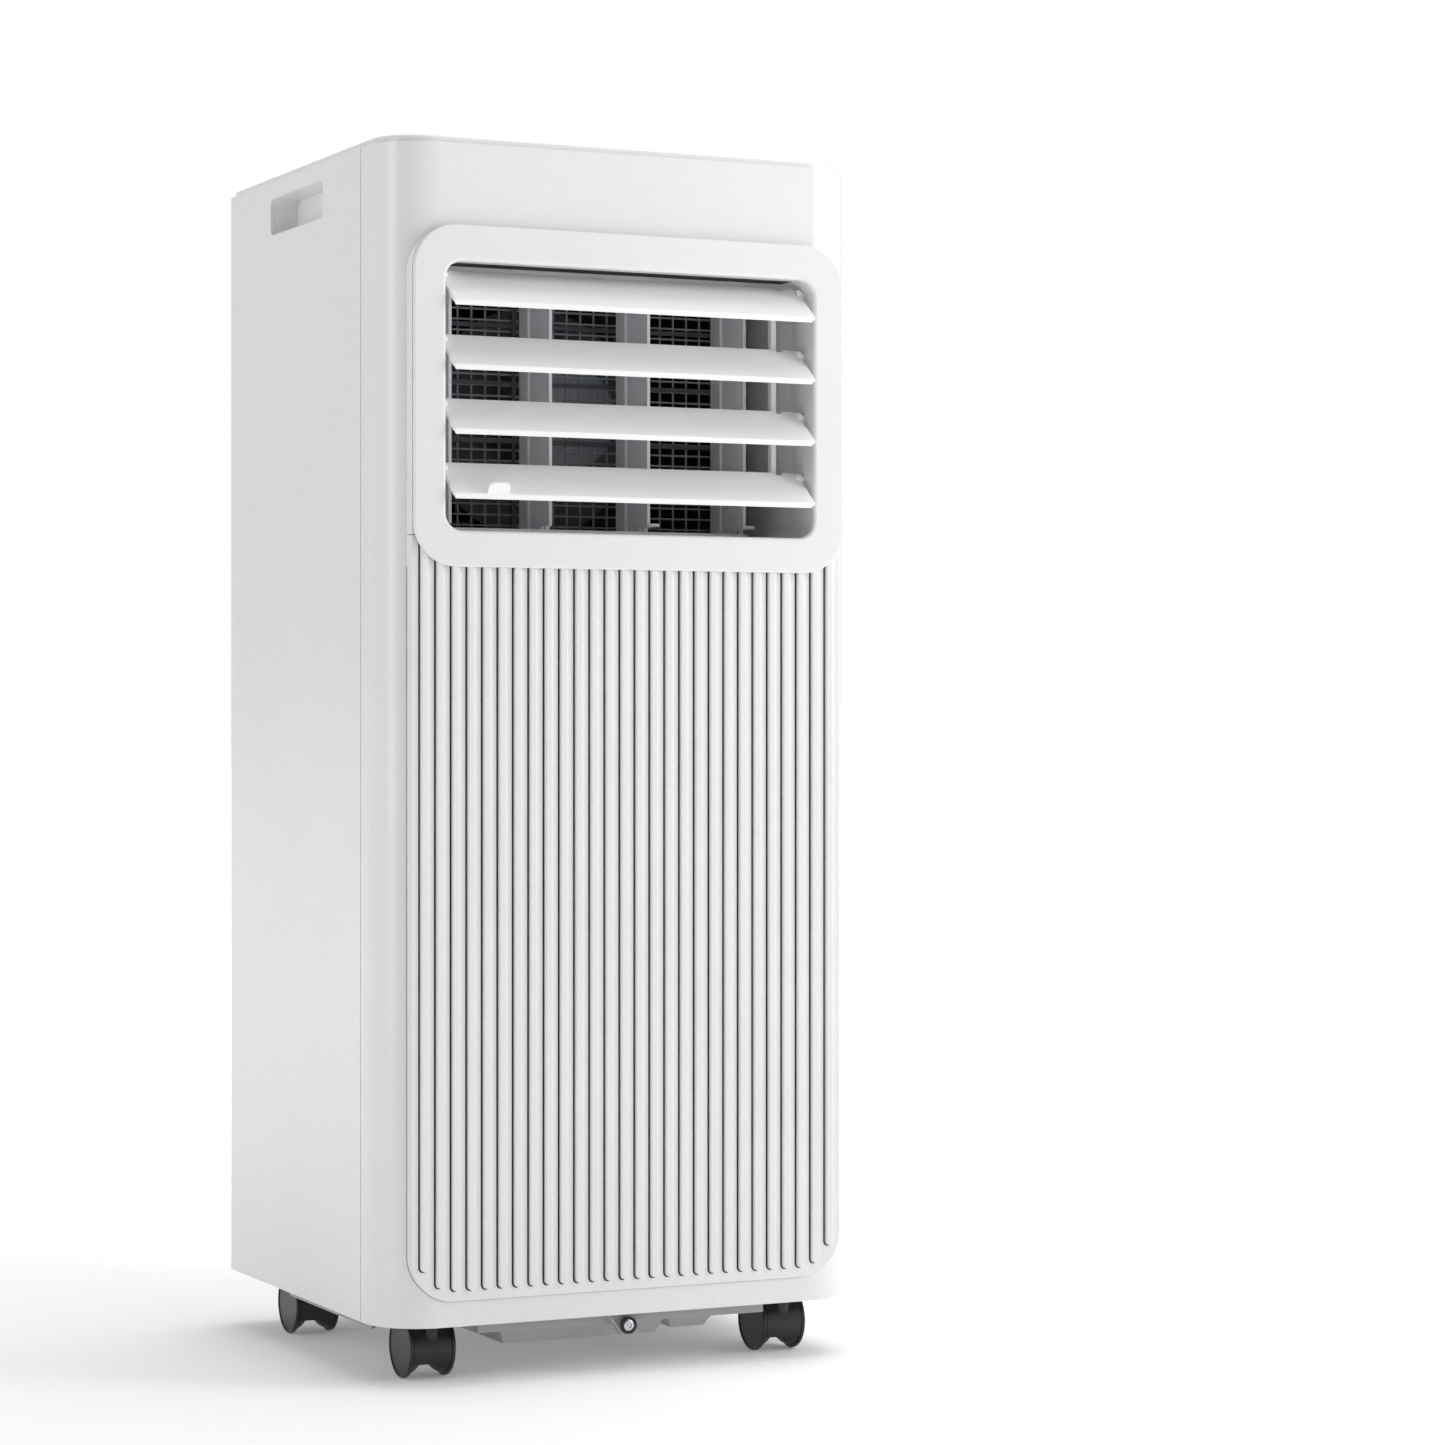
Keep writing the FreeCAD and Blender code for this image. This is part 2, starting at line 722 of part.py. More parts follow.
def vane(x, levered):
    front = front_plane + vane_front
    low, high = duct_low + vane_end_gap, duct_high - vane_end_gap
    half = vane_thickness / 2
    plate = plate_x(front, front + vane_length, low, high, [4.0] * 4, x - half, x + half)
    link = vane_link_y()
    notch_top = low + vane_link_height + 3.5
    plate = plate.cut(box(x - 5, x + 5, front - 1, link + 6.5, low - 1, notch_top))
    foot = box(x - half, x + half, front, link + 7, notch_top - 0.1, notch_top + 2)
    crank = rod((x, link, low + 0.6), (0, 0, 1), crank_pin, notch_top - low)
    pins = rod((x, vane_pivot_y(), duct_low - duct_wall + 0.3), (0, 0, 1), vane_pin,
               duct_high - duct_low + 2 * duct_wall - 0.6)
    shapes = [plate, foot, crank, pins]
    if levered:
        shapes.append(
            plate_z(x - vane_lever_half, x + vane_lever_half, front - vane_lever, front + 3, (3.0, 3.0, 0.5, 0.5),
                    notch_top + 0.3, notch_top + 2)
        )
    return fuse(shapes)


def vane_link():
    places = vane_places()
    low = duct_low + vane_end_gap + 1.2
    y = vane_link_y()
    bar = plate_z(places[0] - 4, places[-1] + 4, y - 3.2, y + 3.2, [3.0] * 4, low, low + vane_link_height)
    for x in places:
        bar = bar.cut(rod((x, y, low - 1), (0, 0, 1), crank_pin + running, vane_link_height + 2))
    return bar


def duct_shell(grow, y0, y1):
    return plate_y(-duct_half - grow, duct_half + grow, duct_low - grow, duct_high + grow,
                   [opening_corner + duct_margin + grow] * 4, y0, y1)


def outlet_duct():
    tunnel = duct_shell(duct_wall, sleeve_rear, duct_rear)
    flange = duct_shell(duct_flange, sleeve_rear, sleeve_rear + duct_wall)
    duct = fuse([tunnel, flange]).cut(duct_shell(0, sleeve_rear - 5, duct_rear + 5))
    for x in vane_places():
        duct = duct.cut(
            rod((x, vane_pivot_y(), duct_low - 10), (0, 0, 1), vane_pin + running,
                duct_high - duct_low + 20)
        )
    return duct


# ---- blowers ---------------------------------------------------------------------------------
def hollow_box(x, y0, y1, z0, z1):
    outer = plate_y(-x, x, z0, z1, [12.0] * 4, y0, y1)
    inner = plate_y(-x + box_wall, x - box_wall, z0 + box_wall, z1 - box_wall, [9.5] * 4,
                    y0 + box_wall, y1 - box_wall)
    return outer.cut(inner)


def guard_bars(y0, y1, half, low, high):
    """Safety grid: level bars with two uprights."""
    count = int((high - low) / grid_pitch)
    step = (high - low) / count
    bars = [
        box(-half - 1, half + 1, y0, y1, low + index * step - grid_bar / 2, low + index * step + grid_bar / 2)
        for index in range(1, count)
    ]
    bars += [box(x - grid_bar / 2, x + grid_bar / 2, y0, y1, low - 1, high + 1) for x in (-half / 3, half / 3)]
    return bars


def upper_blower_box():
    case = hollow_box(duct_half, duct_rear, upper_box_rear, tray_top, upper_box_top)
    half, low, high = duct_half - 12, duct_low + 8, duct_high - 8
    mouth = plate_y(-half, half, low, high, [20.0] * 4, duct_rear - 1, duct_rear + box_wall + 1)
    case = case.cut(mouth)
    case = case.cut(rod((0, upper_box_rear - 10, upper_axis_height), (0, 1, 0), inlet_radius, 20))
    grid = guard_bars(duct_rear, duct_rear + box_wall, half, low, high)
    return fuse([case] + grid)


def upper_motor():
    face = duct_rear + box_wall
    return motor(0, face, upper_axis_height)


def motor(x, y, z):
    """Motor whose front face is at y, with its shaft to the rear."""
    can = rod((x, y, z), (0, 1, 0), motor_radius, motor_length)
    can = can.makeFillet(3.0, edges_at(can, "Y", y + motor_length))
    neck = rod((x, y + motor_length - 0.5, z), (0, 1, 0), 9.0, 3.5)
    shaft = rod((x, y + motor_length, z), (0, 1, 0), shaft_radius, hub_length + wheel_end_gap + 3)
    return fuse([can, neck, shaft])


def blower_wheel(x, y, z, length):
    """Squirrel-cage wheel whose hub starts at y, on the motor's shaft."""
    hub = rod((x, y, z), (0, 1, 0), hub_radius, hub_length)
    plate = rod((x, y + 4, z), (0, 1, 0), wheel_radius, wheel_plate)
    ring = rod((x, y + length - 3, z), (0, 1, 0), wheel_radius, 3).cut(
        rod((x, y + length - 4, z), (0, 1, 0), wheel_radius - wheel_rim, 5)
    )
    shapes = [hub, plate, ring]
    for index in range(wheel_blades):
        fin = box(x + wheel_radius - wheel_rim + 0.5, x + wheel_radius - 0.5, y + 5, y + length - 2,
                  z - 0.7, z + 0.7)
        fin.rotate(V(x + wheel_radius - wheel_rim / 2, y, z), V(0, 1, 0), 35)
        fin.rotate(V(x, y, z), V(0, 1, 0), 360 / wheel_blades * index)
        shapes.append(fin)
    wheel = fuse(shapes)
    return wheel.cut(rod((x, y - 1, z), (0, 1, 0), shaft_radius + running, hub_length + 40))


def lower_blower_box():
    top = tray_top - tray_thickness
    case = hollow_box(lower_box_half_width, lower_box_front, lower_box_rear, lower_box_bottom, top)
    case = case.cut(rod((0, lower_box_rear - 10, lower_axis_height), (0, 1, 0), inlet_radius, 20))
    throat_end = rear_plane - wall - flange_plate - slack
    outer = exhaust_inner + exhaust_wall
    throat = rod((0, lower_box_rear - 1, exhaust_height), (0, 1, 0), outer, throat_end - lower_box_rear + 1)
    case = case.fuse(throat)
    case = case.cut(rod((0, lower_box_rear - 10, exhaust_height), (0, 1, 0), exhaust_inner - throat_step, 100))
    case = case.cut(rod((0, lower_box_front - 5, lower_axis_height), (0, 1, 0), 9.0 + slack, 12))
    for side in (-1, 1):
        x0, x1 = sorted((side * foot_half_width, side * (foot_half_width - foot_thickness)))
        case = case.fuse(box(x0, x1, lower_box_front + 8, lower_box_rear - 8,
                             pan_floor + pan_wall, lower_box_bottom + 1))
    return case.removeSplitter()


def divider_tray():
    half = half_width - wall
    tray = box(-half, half, duct_rear - 30, rear_plane - wall - flange_thickness,
               tray_top - tray_thickness, tray_top)
    lip = box(-half, half, duct_rear - 30, duct_rear - 27, tray_top - 1, tray_top + 8)
    x, y = pipe_riser()
    return fuse([tray, lip]).cut(rod((x, y, 0), (0, 0, 1), pipe_radius + 1.0, wall_top))


# ---- coils, compressor, pipes ----------------------------------------------------------------
def coil(bottom, height):
    """Fin pack between two end plates, with hairpin bends past the right one."""
    core = box(-coil_half_width, coil_half_width, coil_front, coil_rear, bottom, bottom + height)
    plates = [
        box(x, x + end_plate, coil_front - 1, coil_rear + 1, bottom, bottom + height)
        for x in (-coil_half_width - end_plate, coil_half_width)
    ]
    shapes = [core] + plates
    middle = (coil_front + coil_rear) / 2
    pitch = 4 * bend_radius
    count = int(height / pitch)
    start = bottom + (height - (count - 1) * pitch) / 2
    for index in range(count):
        ring = Part.makeTorus(
            bend_radius, tube_radius,
            V(coil_half_width + end_plate, middle, start + index * pitch), V(0, 1, 0),
        )
        shapes.append(ring.common(box(coil_half_width, width, -depth, depth, 0, wall_top)))
    return fuse(shapes)


def compressor_base():
    return pan_floor + pan_wall + foot_height


def foot_places():
    places = []
    for angle in foot_angles:
        turn = math.radians(angle)
        places.append((compressor_x + foot_circle * math.cos(turn), compressor_y + foot_circle * math.sin(turn)))
    return places


def compressor():
    base = compressor_base()
    plate = rod((compressor_x, compressor_y, base), (0, 0, 1), compressor_plate_radius, compressor_plate)
    can = rod((compressor_x, compressor_y, base + compressor_plate - 0.5), (0, 0, 1),
              compressor_radius, compressor_height)
    can = can.makeFillet(20.0, edges_at(can, "Z", base + compressor_plate - 0.5 + compressor_height))
    return fuse([plate, can])


def compressor_feet():
    """Rubber grommets between the compressor's plate and the pan."""
    floor = pan_floor + pan_wall
    feet = []
    for x, y in foot_places():
        foot = rod((x, y, floor), (0, 0, 1), foot_radius, foot_height)
        waist = Part.makeTorus(foot_radius + 1.2, 2.4, V(x, y, floor + foot_height / 2), V(0, 0, 1))
        feet.append(foot.cut(waist))
    return feet


def pipe(points, radius):
    """Round pipe along straight runs joined by tangent arcs."""
    spots = [V(*point) for point in points]
    edges, here = [], spots[0]
    for before, corner, after in zip(spots, spots[1:], spots[2:]):
        back = (before - corner).normalize()
        ahead = (after - corner).normalize()
        start, end = corner + back * pipe_bend, corner + ahead * pipe_bend
        centre = corner + (back + ahead) * pipe_bend
        middle = centre - (back + ahead).normalize() * pipe_bend
        edges.append(Part.LineSegment(here, start).toShape())
        edges.append(Part.Arc(start, middle, end).toShape())
        here = end
    edges.append(Part.LineSegment(here, spots[-1]).toShape())
    ring = Part.Wire(Part.makeCircle(radius, spots[0], spots[1] - spots[0]))
    sweep = Part.BRepOffsetAPI.MakePipeShell(Part.Wire(edges))
    sweep.add(ring)
    sweep.build()
    sweep.makeSolid()
    return sweep.shape()


def pipe_riser():
    return -half_width + 20, (coil_front + coil_rear) / 2


def copper_pipes():
    top = compressor_base() + compressor_plate - 0.5 + compressor_height
    riser_x, riser_y = pipe_riser()
    end = -coil_half_width - end_plate
    discharge = pipe(
        [(compressor_x - 14, compressor_y, top), (compressor_x - 14, compressor_y, top + 32),
         (riser_x + 8, compressor_y, top + 32), (riser_x + 8, riser_y - 6, top + 32),
         (riser_x + 8, riser_y - 6, pan_top + 150), (end, riser_y - 6, pan_top + 150)],
        pipe_radius,
    )
    suction = pipe(
        [(compressor_x + 14, compressor_y, top), (compressor_x + 14, compressor_y, top + 64),
         (riser_x, compressor_y, top + 64), (riser_x, riser_y, top + 64),
         (riser_x, riser_y, tray_top + 60), (end, riser_y, tray_top + 60)],
        pipe_radius,
    )
    return [discharge, suction]


# ---- rear grilles, exhaust, drain, cord inlet ------------------------------------------------
def grille(low, high):
    """Framed grille of sloping slats that fills a rear window."""
    half = window_width / 2 - 2 * slack
    low, high = low + 2 * slack, high - 2 * slack
    face = rear_plane + grille_proud
    frame = plate_y(-half, half, low, high, [5.4] * 4, face - grille_depth, face)
    frame = frame.makeFillet(0.8, edges_at(frame, "Y", face))
    inner_half = half - grille_border
    frame = frame.cut(plate_y(-inner_half, inner_half, low + grille_border, high - grille_border,
                              [3.0] * 4, face - grille_depth - 1, face + 1))
    shapes = [frame]
    space = high - low - 2 * grille_border
    count = int(space / slat_pitch)
    step = space / count
    y0, y1 = face - grille_depth + 1.5, face - 1.2
    for index in range(1, count):
        z = low + grille_border + index * step
        shapes.append(prism_x(
            [(y0, z + slat_height), (y1, z), (y1, z - 1.4), (y0, z + slat_height - 1.4)],
            -inner_half - 0.5, inner_half + 0.5,
        ))
    for x in (-inner_half / 2, 0, inner_half / 2):
        shapes.append(box(x - 1, x + 1, y0, y1 - 0.4, low + grille_border - 0.5, high - grille_border + 0.5))
    return fuse(shapes)


def filter_cassette():
    low, high = upper_window
    cassette = grille(low, high)
    face = rear_plane + grille_proud
    pull = plate_y(-22, 22, high - 2 * slack - 7.5, high - 2 * slack - 2.5, [2.4] * 4, face - 2, face + 1)
    return cassette.cut(pull)


def filter_mesh():
    low, high = upper_window
    half = window_width / 2 - 2 * slack - 3
    back = rear_plane + grille_proud - grille_depth
    return plate_y(-half, half, low + 3.6, high - 3.6, [4.0] * 4, back - mesh_thickness, back)


def exhaust_collar():
    outer = exhaust_inner + exhaust_wall
    start = rear_plane - wall - flange_plate
    tube = rod((0, start, exhaust_height), (0, 1, 0), outer, wall + flange_plate + exhaust_proud)
    inner_flange = rod((0, start, exhaust_height), (0, 1, 0), outer + exhaust_flange, flange_plate)
    shapes = [tube, inner_flange]
    for angle in (0, 90, 180, 270):
        lug = box(outer - 0.5, outer + 1.8, rear_plane + exhaust_proud - 4, rear_plane + exhaust_proud - 1.5,
                  exhaust_height - 8, exhaust_height + 8)
        lug.rotate(V(0, 0, exhaust_height), V(0, 1, 0), angle)
        shapes.append(lug)
    bore = rod((0, start - 5, exhaust_height), (0, 1, 0), exhaust_inner, 60)
    return fuse(shapes).cut(bore)


def drain_plug():
    """Rubber stopper with a grip, pushed into the drain's mouth."""
    mouth = rear_plane + drain_proud
    stem = rod((drain_x, mouth - 9, drain_height), (0, 1, 0), drain_inner - slack, 9 + slack)
    head = rod((drain_x, mouth + slack, drain_height), (0, 1, 0), plug_head, 2.5)
    grip = plate_x(mouth + 2, mouth + 8, drain_height - 6, drain_height + 6, [2.0] * 4,
                   drain_x - 1.25, drain_x + 1.25)
    return fuse([stem, head, grip])


def cord_inlet():
    """Gland where the supply cord enters, with a flange outside and a nut inside."""
    flange = rod((cord_inlet_x, rear_plane, cord_inlet_height), (0, 1, 0), cord_inlet_radius, 3.0)
    flange = flange.makeFillet(1.2, edges_at(flange, "Y", rear_plane + 3.0))
    nose = Part.makeCone(cord_hole + 3.5, cord_hole + 1.5, 6, V(cord_inlet_x, rear_plane + 2.5, cord_inlet_height),
                         V(0, 1, 0))
    neck = rod((cord_inlet_x, rear_plane - 8, cord_inlet_height), (0, 1, 0), cord_hole + 2, 9)
    nut = rod((cord_inlet_x, rear_plane - wall - 4, cord_inlet_height), (0, 1, 0), cord_hole + 5, 4)
    gland = fuse([flange, nose, neck, nut])
    return gland.cut(rod((cord_inlet_x, rear_plane - 20, cord_inlet_height), (0, 1, 0), cord_hole, 40))


# ---- base pan --------------------------------------------------------------------------------
def castor_places():
    return [
        ("front_left", -castor_front_x, castor_front_y), ("front_right", castor_front_x, castor_front_y),
        ("rear_left", -castor_rear_x, castor_rear_y), ("rear_right", castor_rear_x, castor_rear_y),
    ]


def sump(left, right, low):
    """Shallow trough under the pan, with sloping ends."""
    top = pan_floor + 1
    y0, y1, s = sump_front, sump_rear, sump_slope
    solid = prism_y([(left, top), (right, top), (right - s, low), (left + s, low)], y0, y1)
    trim = prism_x([(y0, top), (y1, top), (y1 - s, low), (y0 + s, low)], left - 1, right + 1)
    return solid.common(trim)


def pan_tab():
    """V-shaped tab at the front that takes the lower screw."""
    half, tip, r = tab_top_width / 2, tab_tip, tab_tip_radius
    plate = prism_y(
        [(-half, ground_clearance + 2), (half, ground_clearance + 2), (r * 0.87, tip - r * 0.5),
         (-r * 0.87, tip - r * 0.5)],
        tab_front, tab_front + tab_thickness,
    )
    return plate.fuse(rod((0, tab_front, tip), (0, 1, 0), r, tab_thickness))


def base_pan():
    spots = [(x, y) for _, x, y in castor_places()]
    outer = body_plan(pan_inset, pan_floor, pan_top)
    inner = body_plan(pan_inset + pan_wall, pan_floor + pan_wall, pan_top + 1)
    for x, y in spots:
        inner = inner.cut(rod((x, y, pan_floor), (0, 0, 1), well_radius + well_clearance,
                              pan_top - pan_floor))
    rim = body_plan(wall + slack, pan_top - pan_wall, pan_top).cut(
        body_plan(pan_inset + 1, pan_floor, pan_top + 1)
    )
    pan = fuse([outer.cut(inner), rim, sump(*sump_main), sump(*sump_small), pan_tab()])
    for x, y in spots:
        pan = pan.cut(rod((x, y, 0), (0, 0, 1), well_radius, pan_top - well_clearance))
        corner_x = x + math.copysign(half_width, x)
        x0, x1 = sorted((x, corner_x))
        y0, y1 = (-depth, y) if y < 0 else (y, depth)
        pan = pan.cut(box(x0, x1, y0, y1, 0, pan_top - well_clearance))
        pan = pan.fuse(rod((x, y, pan_top - 1), (0, 0, 1), socket_radius, boss_top - pan_top + 1))
        pan = pan.cut(rod((x, y, 0), (0, 0, 1), stem_radius + running, boss_top + 10))
    low, high = sump_main[0] + 14, sump_small[1] - 14
    pocket = box(low, sump_main[1] - 8, sump_front + 14, sump_rear - 14, sump_main[2] + pan_wall, pan_floor + 10)
    pan = pan.cut(pocket).cut(screw_hole_cut())
    tube_start = rear_plane - pan_inset - 1
    spout = rod((drain_x, tube_start - 2, drain_height), (0, 1, 0), drain_inner + drain_wall,
                rear_plane + drain_proud - tube_start + 2)
    web = box(drain_x - drain_inner - drain_wall, drain_x + drain_inner + drain_wall, tube_start - 2,
              rear_plane - wall - 1, pan_top - 1, drain_height)
    pan = fuse([pan, spout, web])
    return pan.cut(rod((drain_x, tube_start - 5, drain_height), (0, 1, 0), drain_inner, 40))


def screw_hole_cut():
    return rod((0, tab_front - 1, tab_tip), (0, 1, 0), screw_hole, screw_length + 3)


# ---- castors ---------------------------------------------------------------------------------
def castor_fork(x, y):
    """Hood with its stem and the axle pin pressed through it."""
    axle_y = y + castor_trail
    half, inner = castor_hood_half, castor_hood - hood_wall
    core = rod((x - half, axle_y, castor_wheel), (1, 0, 0), inner, 2 * half)
    hood = rod((x - half, axle_y, castor_wheel), (1, 0, 0), castor_hood, 2 * half).cut(core)
    hood = hood.cut(box(x - 20, x + 20, axle_y + hood_open_behind, axle_y + 30, -5, castor_wheel + 6))
    web = rod((x - castor_web_half, axle_y, castor_wheel), (1, 0, 0), inner + hood_wall / 2, 2 * castor_web_half)
    below = box(x - 20, x + 20, axle_y - 30, axle_y + 30, -5, castor_hood_floor)
    roof = pan_top - well_clearance - slack
    boss = rod((x, y, castor_wheel + 6), (0, 0, 1), stem_boss, roof - castor_wheel - 6)
    pill_y = axle_y - boss_pill_forward
    pill = rod((x, pill_y, boss_pill_bottom + boss_pill), (0, 0, 1), boss_pill,
               castor_wheel * 2 - 1 - boss_pill_bottom - boss_pill)
    tip = Part.makeSphere(boss_pill, V(x, pill_y, boss_pill_bottom + boss_pill))
    stem = rod((x, y, roof - 1), (0, 0, 1), stem_radius, boss_top - roof)
    pin_half = castor_half_width - 3
    pin = rod((x - pin_half, axle_y, castor_wheel), (1, 0, 0), castor_pin, 2 * pin_half)
    outside = fuse([boss, pill, tip]).cut(core)
    return fuse([hood.cut(below), web.cut(below), outside, stem, pin])


def castor_wheel_solid(x, y, side):
    """One wheel of a castor, a disc with a dome under the hood; side is -1 for the left one."""
    start = castor_web_half + slack
    end = castor_half_width
    disc = castor_hood_half + slack
    r, e = castor_wheel, wheel_edge
    profile = [V(start, castor_pin + running, 0), V(start, hub_radius, 0)]
    edges = [Part.LineSegment(*profile).toShape()]
    dome_mid = V(start + 0.37 * (disc - start), hub_radius + 0.67 * (dome_radius - hub_radius), 0)
    edges.append(Part.Arc(profile[1], dome_mid, V(disc, dome_radius, 0)).toShape())
    edges.append(Part.LineSegment(V(disc, dome_radius, 0), V(disc, r, 0)).toShape())
    edges.append(Part.LineSegment(V(disc, r, 0), V(end - e, r, 0)).toShape())
    round_mid = V(end - e + e * math.sqrt(0.5), r - e + e * math.sqrt(0.5), 0)
    edges.append(Part.Arc(V(end - e, r, 0), round_mid, V(end, r - e, 0)).toShape())
    rest = [
        V(end, r - e, 0), V(end - 0.5, r - e - 0.9, 0), V(end - 0.5, 0, 0), V(end - 2.5, 0, 0),
        V(end - 2.5, castor_pin + running, 0), profile[0],
    ]
    edges += [Part.LineSegment(a, b).toShape() for a, b in zip(rest, rest[1:])]
    wheel = Part.Face(Part.Wire(edges)).revolve(V(0, 0, 0), V(1, 0, 0), 360)
    if side < 0:
        wheel = mirrored(wheel)
    wheel.translate(V(x, y + castor_trail, castor_wheel))
    return wheel


# ---- everything ------------------------------------------------------------------------------
def main():
    os.makedirs("parts", exist_ok=True)
    save("front_housing", front_housing())
    left_panel, left_cup = side_panel(), handle_cup()
    save("side_panel_left", left_panel)
    save("side_panel_right", mirrored(left_panel))
    save("handle_cup_left", left_cup)
    save("handle_cup_right", mirrored(left_cup))
    save("rear_panel", rear_panel())
    save("top_front_cap", top_front_cap())
    save("top_rear_cap", top_rear_cap())
    save("control_board", control_board())
    save("display_window", display_window())
    for name, (x, y) in zip(button_names, button_spots()):
        save("button_" + name, push_button(x, y))

    save("rib_panel", rib_panel())
    save("louvre_frame", louvre_frame())
    for index, height in enumerate(blade_heights(), 1):
        save("louvre_blade_%d" % index, blade(height, index == blade_count))
    save("louvre_link", louvre_link())
    save("outlet_duct", outlet_duct())
    for index, x in enumerate(vane_places(), 1):
        save("vane_%d" % index, vane(x, index > vane_count - 2))
    save("vane_link", vane_link())

    save("upper_blower_box", upper_blower_box())
    save("upper_motor", upper_motor())
    upper_hub = duct_rear + box_wall + motor_length + wheel_end_gap
    save("upper_blower_wheel", blower_wheel(0, upper_hub, upper_axis_height,
                                            upper_box_rear - box_wall - upper_hub - wheel_end_gap))
    save("lower_blower_box", lower_blower_box())
    save("lower_motor", motor(0, lower_box_front - motor_length, lower_axis_height))
    lower_hub = lower_box_front + wheel_end_gap
    save("lower_blower_wheel", blower_wheel(0, lower_hub, lower_axis_height,
                                            lower_box_rear - box_wall - lower_hub - wheel_end_gap))
    save("divider_tray", divider_tray())
    save("evaporator_coil", coil(tray_top, evaporator_height))
    save("condenser_coil", coil(pan_top, condenser_height))
    save("compressor", compressor())
    save("compressor_feet", *compressor_feet())
    save("copper_pipes", *copper_pipes())

    save("filter_cassette", filter_cassette())
    save("filter_mesh", filter_mesh())
    save("lower_grille", grille(*lower_window))
    save("exhaust_collar", exhaust_collar())
    save("drain_plug", drain_plug())
    save("cord_inlet", cord_inlet())
    save("base_pan", base_pan())
    screws = [screw(x, rear_plane, height, 1) for x, height in screw_spots()]
    screws.append(screw(0, tab_front, tab_tip, -1))
    save("screws", *screws)

    for place, x, y in castor_places():
        save("castor_fork_" + place, castor_fork(x, y))
        save("castor_wheel_" + place + "_l", castor_wheel_solid(x, y, -1))
        save("castor_wheel_" + place + "_r", castor_wheel_solid(x, y, 1))


main()
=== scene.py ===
import json
import math

import bmesh
import bpy
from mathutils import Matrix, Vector


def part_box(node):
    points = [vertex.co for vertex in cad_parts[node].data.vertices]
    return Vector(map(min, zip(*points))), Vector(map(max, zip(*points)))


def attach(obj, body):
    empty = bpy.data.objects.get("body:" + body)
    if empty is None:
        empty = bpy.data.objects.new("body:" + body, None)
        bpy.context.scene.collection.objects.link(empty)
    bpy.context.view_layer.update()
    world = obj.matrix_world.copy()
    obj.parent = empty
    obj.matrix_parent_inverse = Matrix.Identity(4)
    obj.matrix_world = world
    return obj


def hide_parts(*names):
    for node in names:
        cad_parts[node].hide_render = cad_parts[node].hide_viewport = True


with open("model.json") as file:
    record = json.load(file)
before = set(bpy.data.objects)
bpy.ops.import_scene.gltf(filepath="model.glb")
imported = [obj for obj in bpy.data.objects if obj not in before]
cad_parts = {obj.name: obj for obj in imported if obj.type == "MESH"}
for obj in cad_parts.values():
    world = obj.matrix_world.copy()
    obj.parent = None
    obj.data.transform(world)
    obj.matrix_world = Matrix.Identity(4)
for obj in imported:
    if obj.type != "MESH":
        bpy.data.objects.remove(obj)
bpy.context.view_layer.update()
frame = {"nodes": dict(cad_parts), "record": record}
mm = 0.001               # every length in a dictionary is in millimetres unless it says otherwise


# small tools

def linear(hexColour):
    values = [int(hexColour[i:i + 2], 16) / 255 for i in (1, 3, 5)]
    return tuple(v / 12.92 if v <= 0.04045 else ((v + 0.055) / 1.055) ** 2.4 for v in values) + (1.0,)


def addNode(tree, kind, settings=None, links=None):
    node = tree.nodes.new(kind)
    for key, value in (settings or {}).items():
        if key == "stops":       # a colour ramp's (place, colour) pairs
            ramp = node.color_ramp.elements
            while len(ramp) < len(value):
                ramp.new(0.5)
            for element, (place, colour) in zip(ramp, value):
                element.position, element.color = place, colour
        elif key in node.inputs:
            node.inputs[key].default_value = value
        else:
            setattr(node, key, value)
    for key, source in (links or {}).items():
        tree.links.new(source, node.inputs[key])
    return node


def newMaterial(name):
    material = bpy.data.materials.new(name)
    material.use_nodes = True
    material.node_tree.nodes.clear()
    return material, material.node_tree


def deselectAll():
    for item in bpy.context.selected_objects:
        item.select_set(False)


# camera, lights and floor

studio = {
    "cameraPlace": (-0.8729, -2.0694, 0.3639),
    "cameraTurn": (90.0, 0.0, -25.68),      # degrees
    "lens": 94.5,
    "sensor": 36.0,
    "ambient": 0.46,
    "backdrop": 1.0,
    "floorSize": 60.0,
    "floorColour": "#fafafa",
    # strength by metres from the middle
    "floorGlow": {"From Min": 0.5, "From Max": 2.2, "To Min": 0.16, "To Max": 0.8},
}

# places and sizes in metres, power in watts
lamps = [
    {"name": "keySoftbox", "place": (1.1, -0.95, 0.85), "target": (0, -0.1, 0.4),
     "size": (0.6, 1.1), "power": 9},
    {"name": "topSoftbox", "place": (0.6, 0.3, 2.6), "target": (0, 0, 0),
     "size": (2.2, 2.2), "power": 34},
    {"name": "leftStrip", "place": (-2.4, -0.6, 0.9), "target": (0, 0, 0.4),
     "size": (0.5, 1.8), "power": 11},
]

# a black card off camera that darkens the rounded front corner, as in a product studio
blackCard = {"place": (-1.12, -0.99, 0.75), "size": (1.1, 1.9), "turn": (90, 0, -48.7),
             "colour": "#101010"}


def seamlessPaper():
    material, tree = newMaterial("seamlessPaper")
    # the paper is lit from below far from the object, which keeps it seamless with the backdrop
    coords = addNode(tree, "ShaderNodeTexCoord")
    away = addNode(tree, "ShaderNodeVectorMath", {"operation": "LENGTH"}, {0: coords.outputs["Object"]})
    glow = addNode(tree, "ShaderNodeMapRange", studio["floorGlow"], {"Value": away.outputs["Value"]})
    surface = addNode(tree, "ShaderNodeBsdfPrincipled", {
        "Base Color": linear(studio["floorColour"]), "Roughness": 0.95, "Specular IOR Level": 0.05,
        "Emission Color": (1, 1, 1, 1)}, {"Emission Strength": glow.outputs["Result"]})
    addNode(tree, "ShaderNodeOutputMaterial", {}, {"Surface": surface.outputs[0]})
    return material


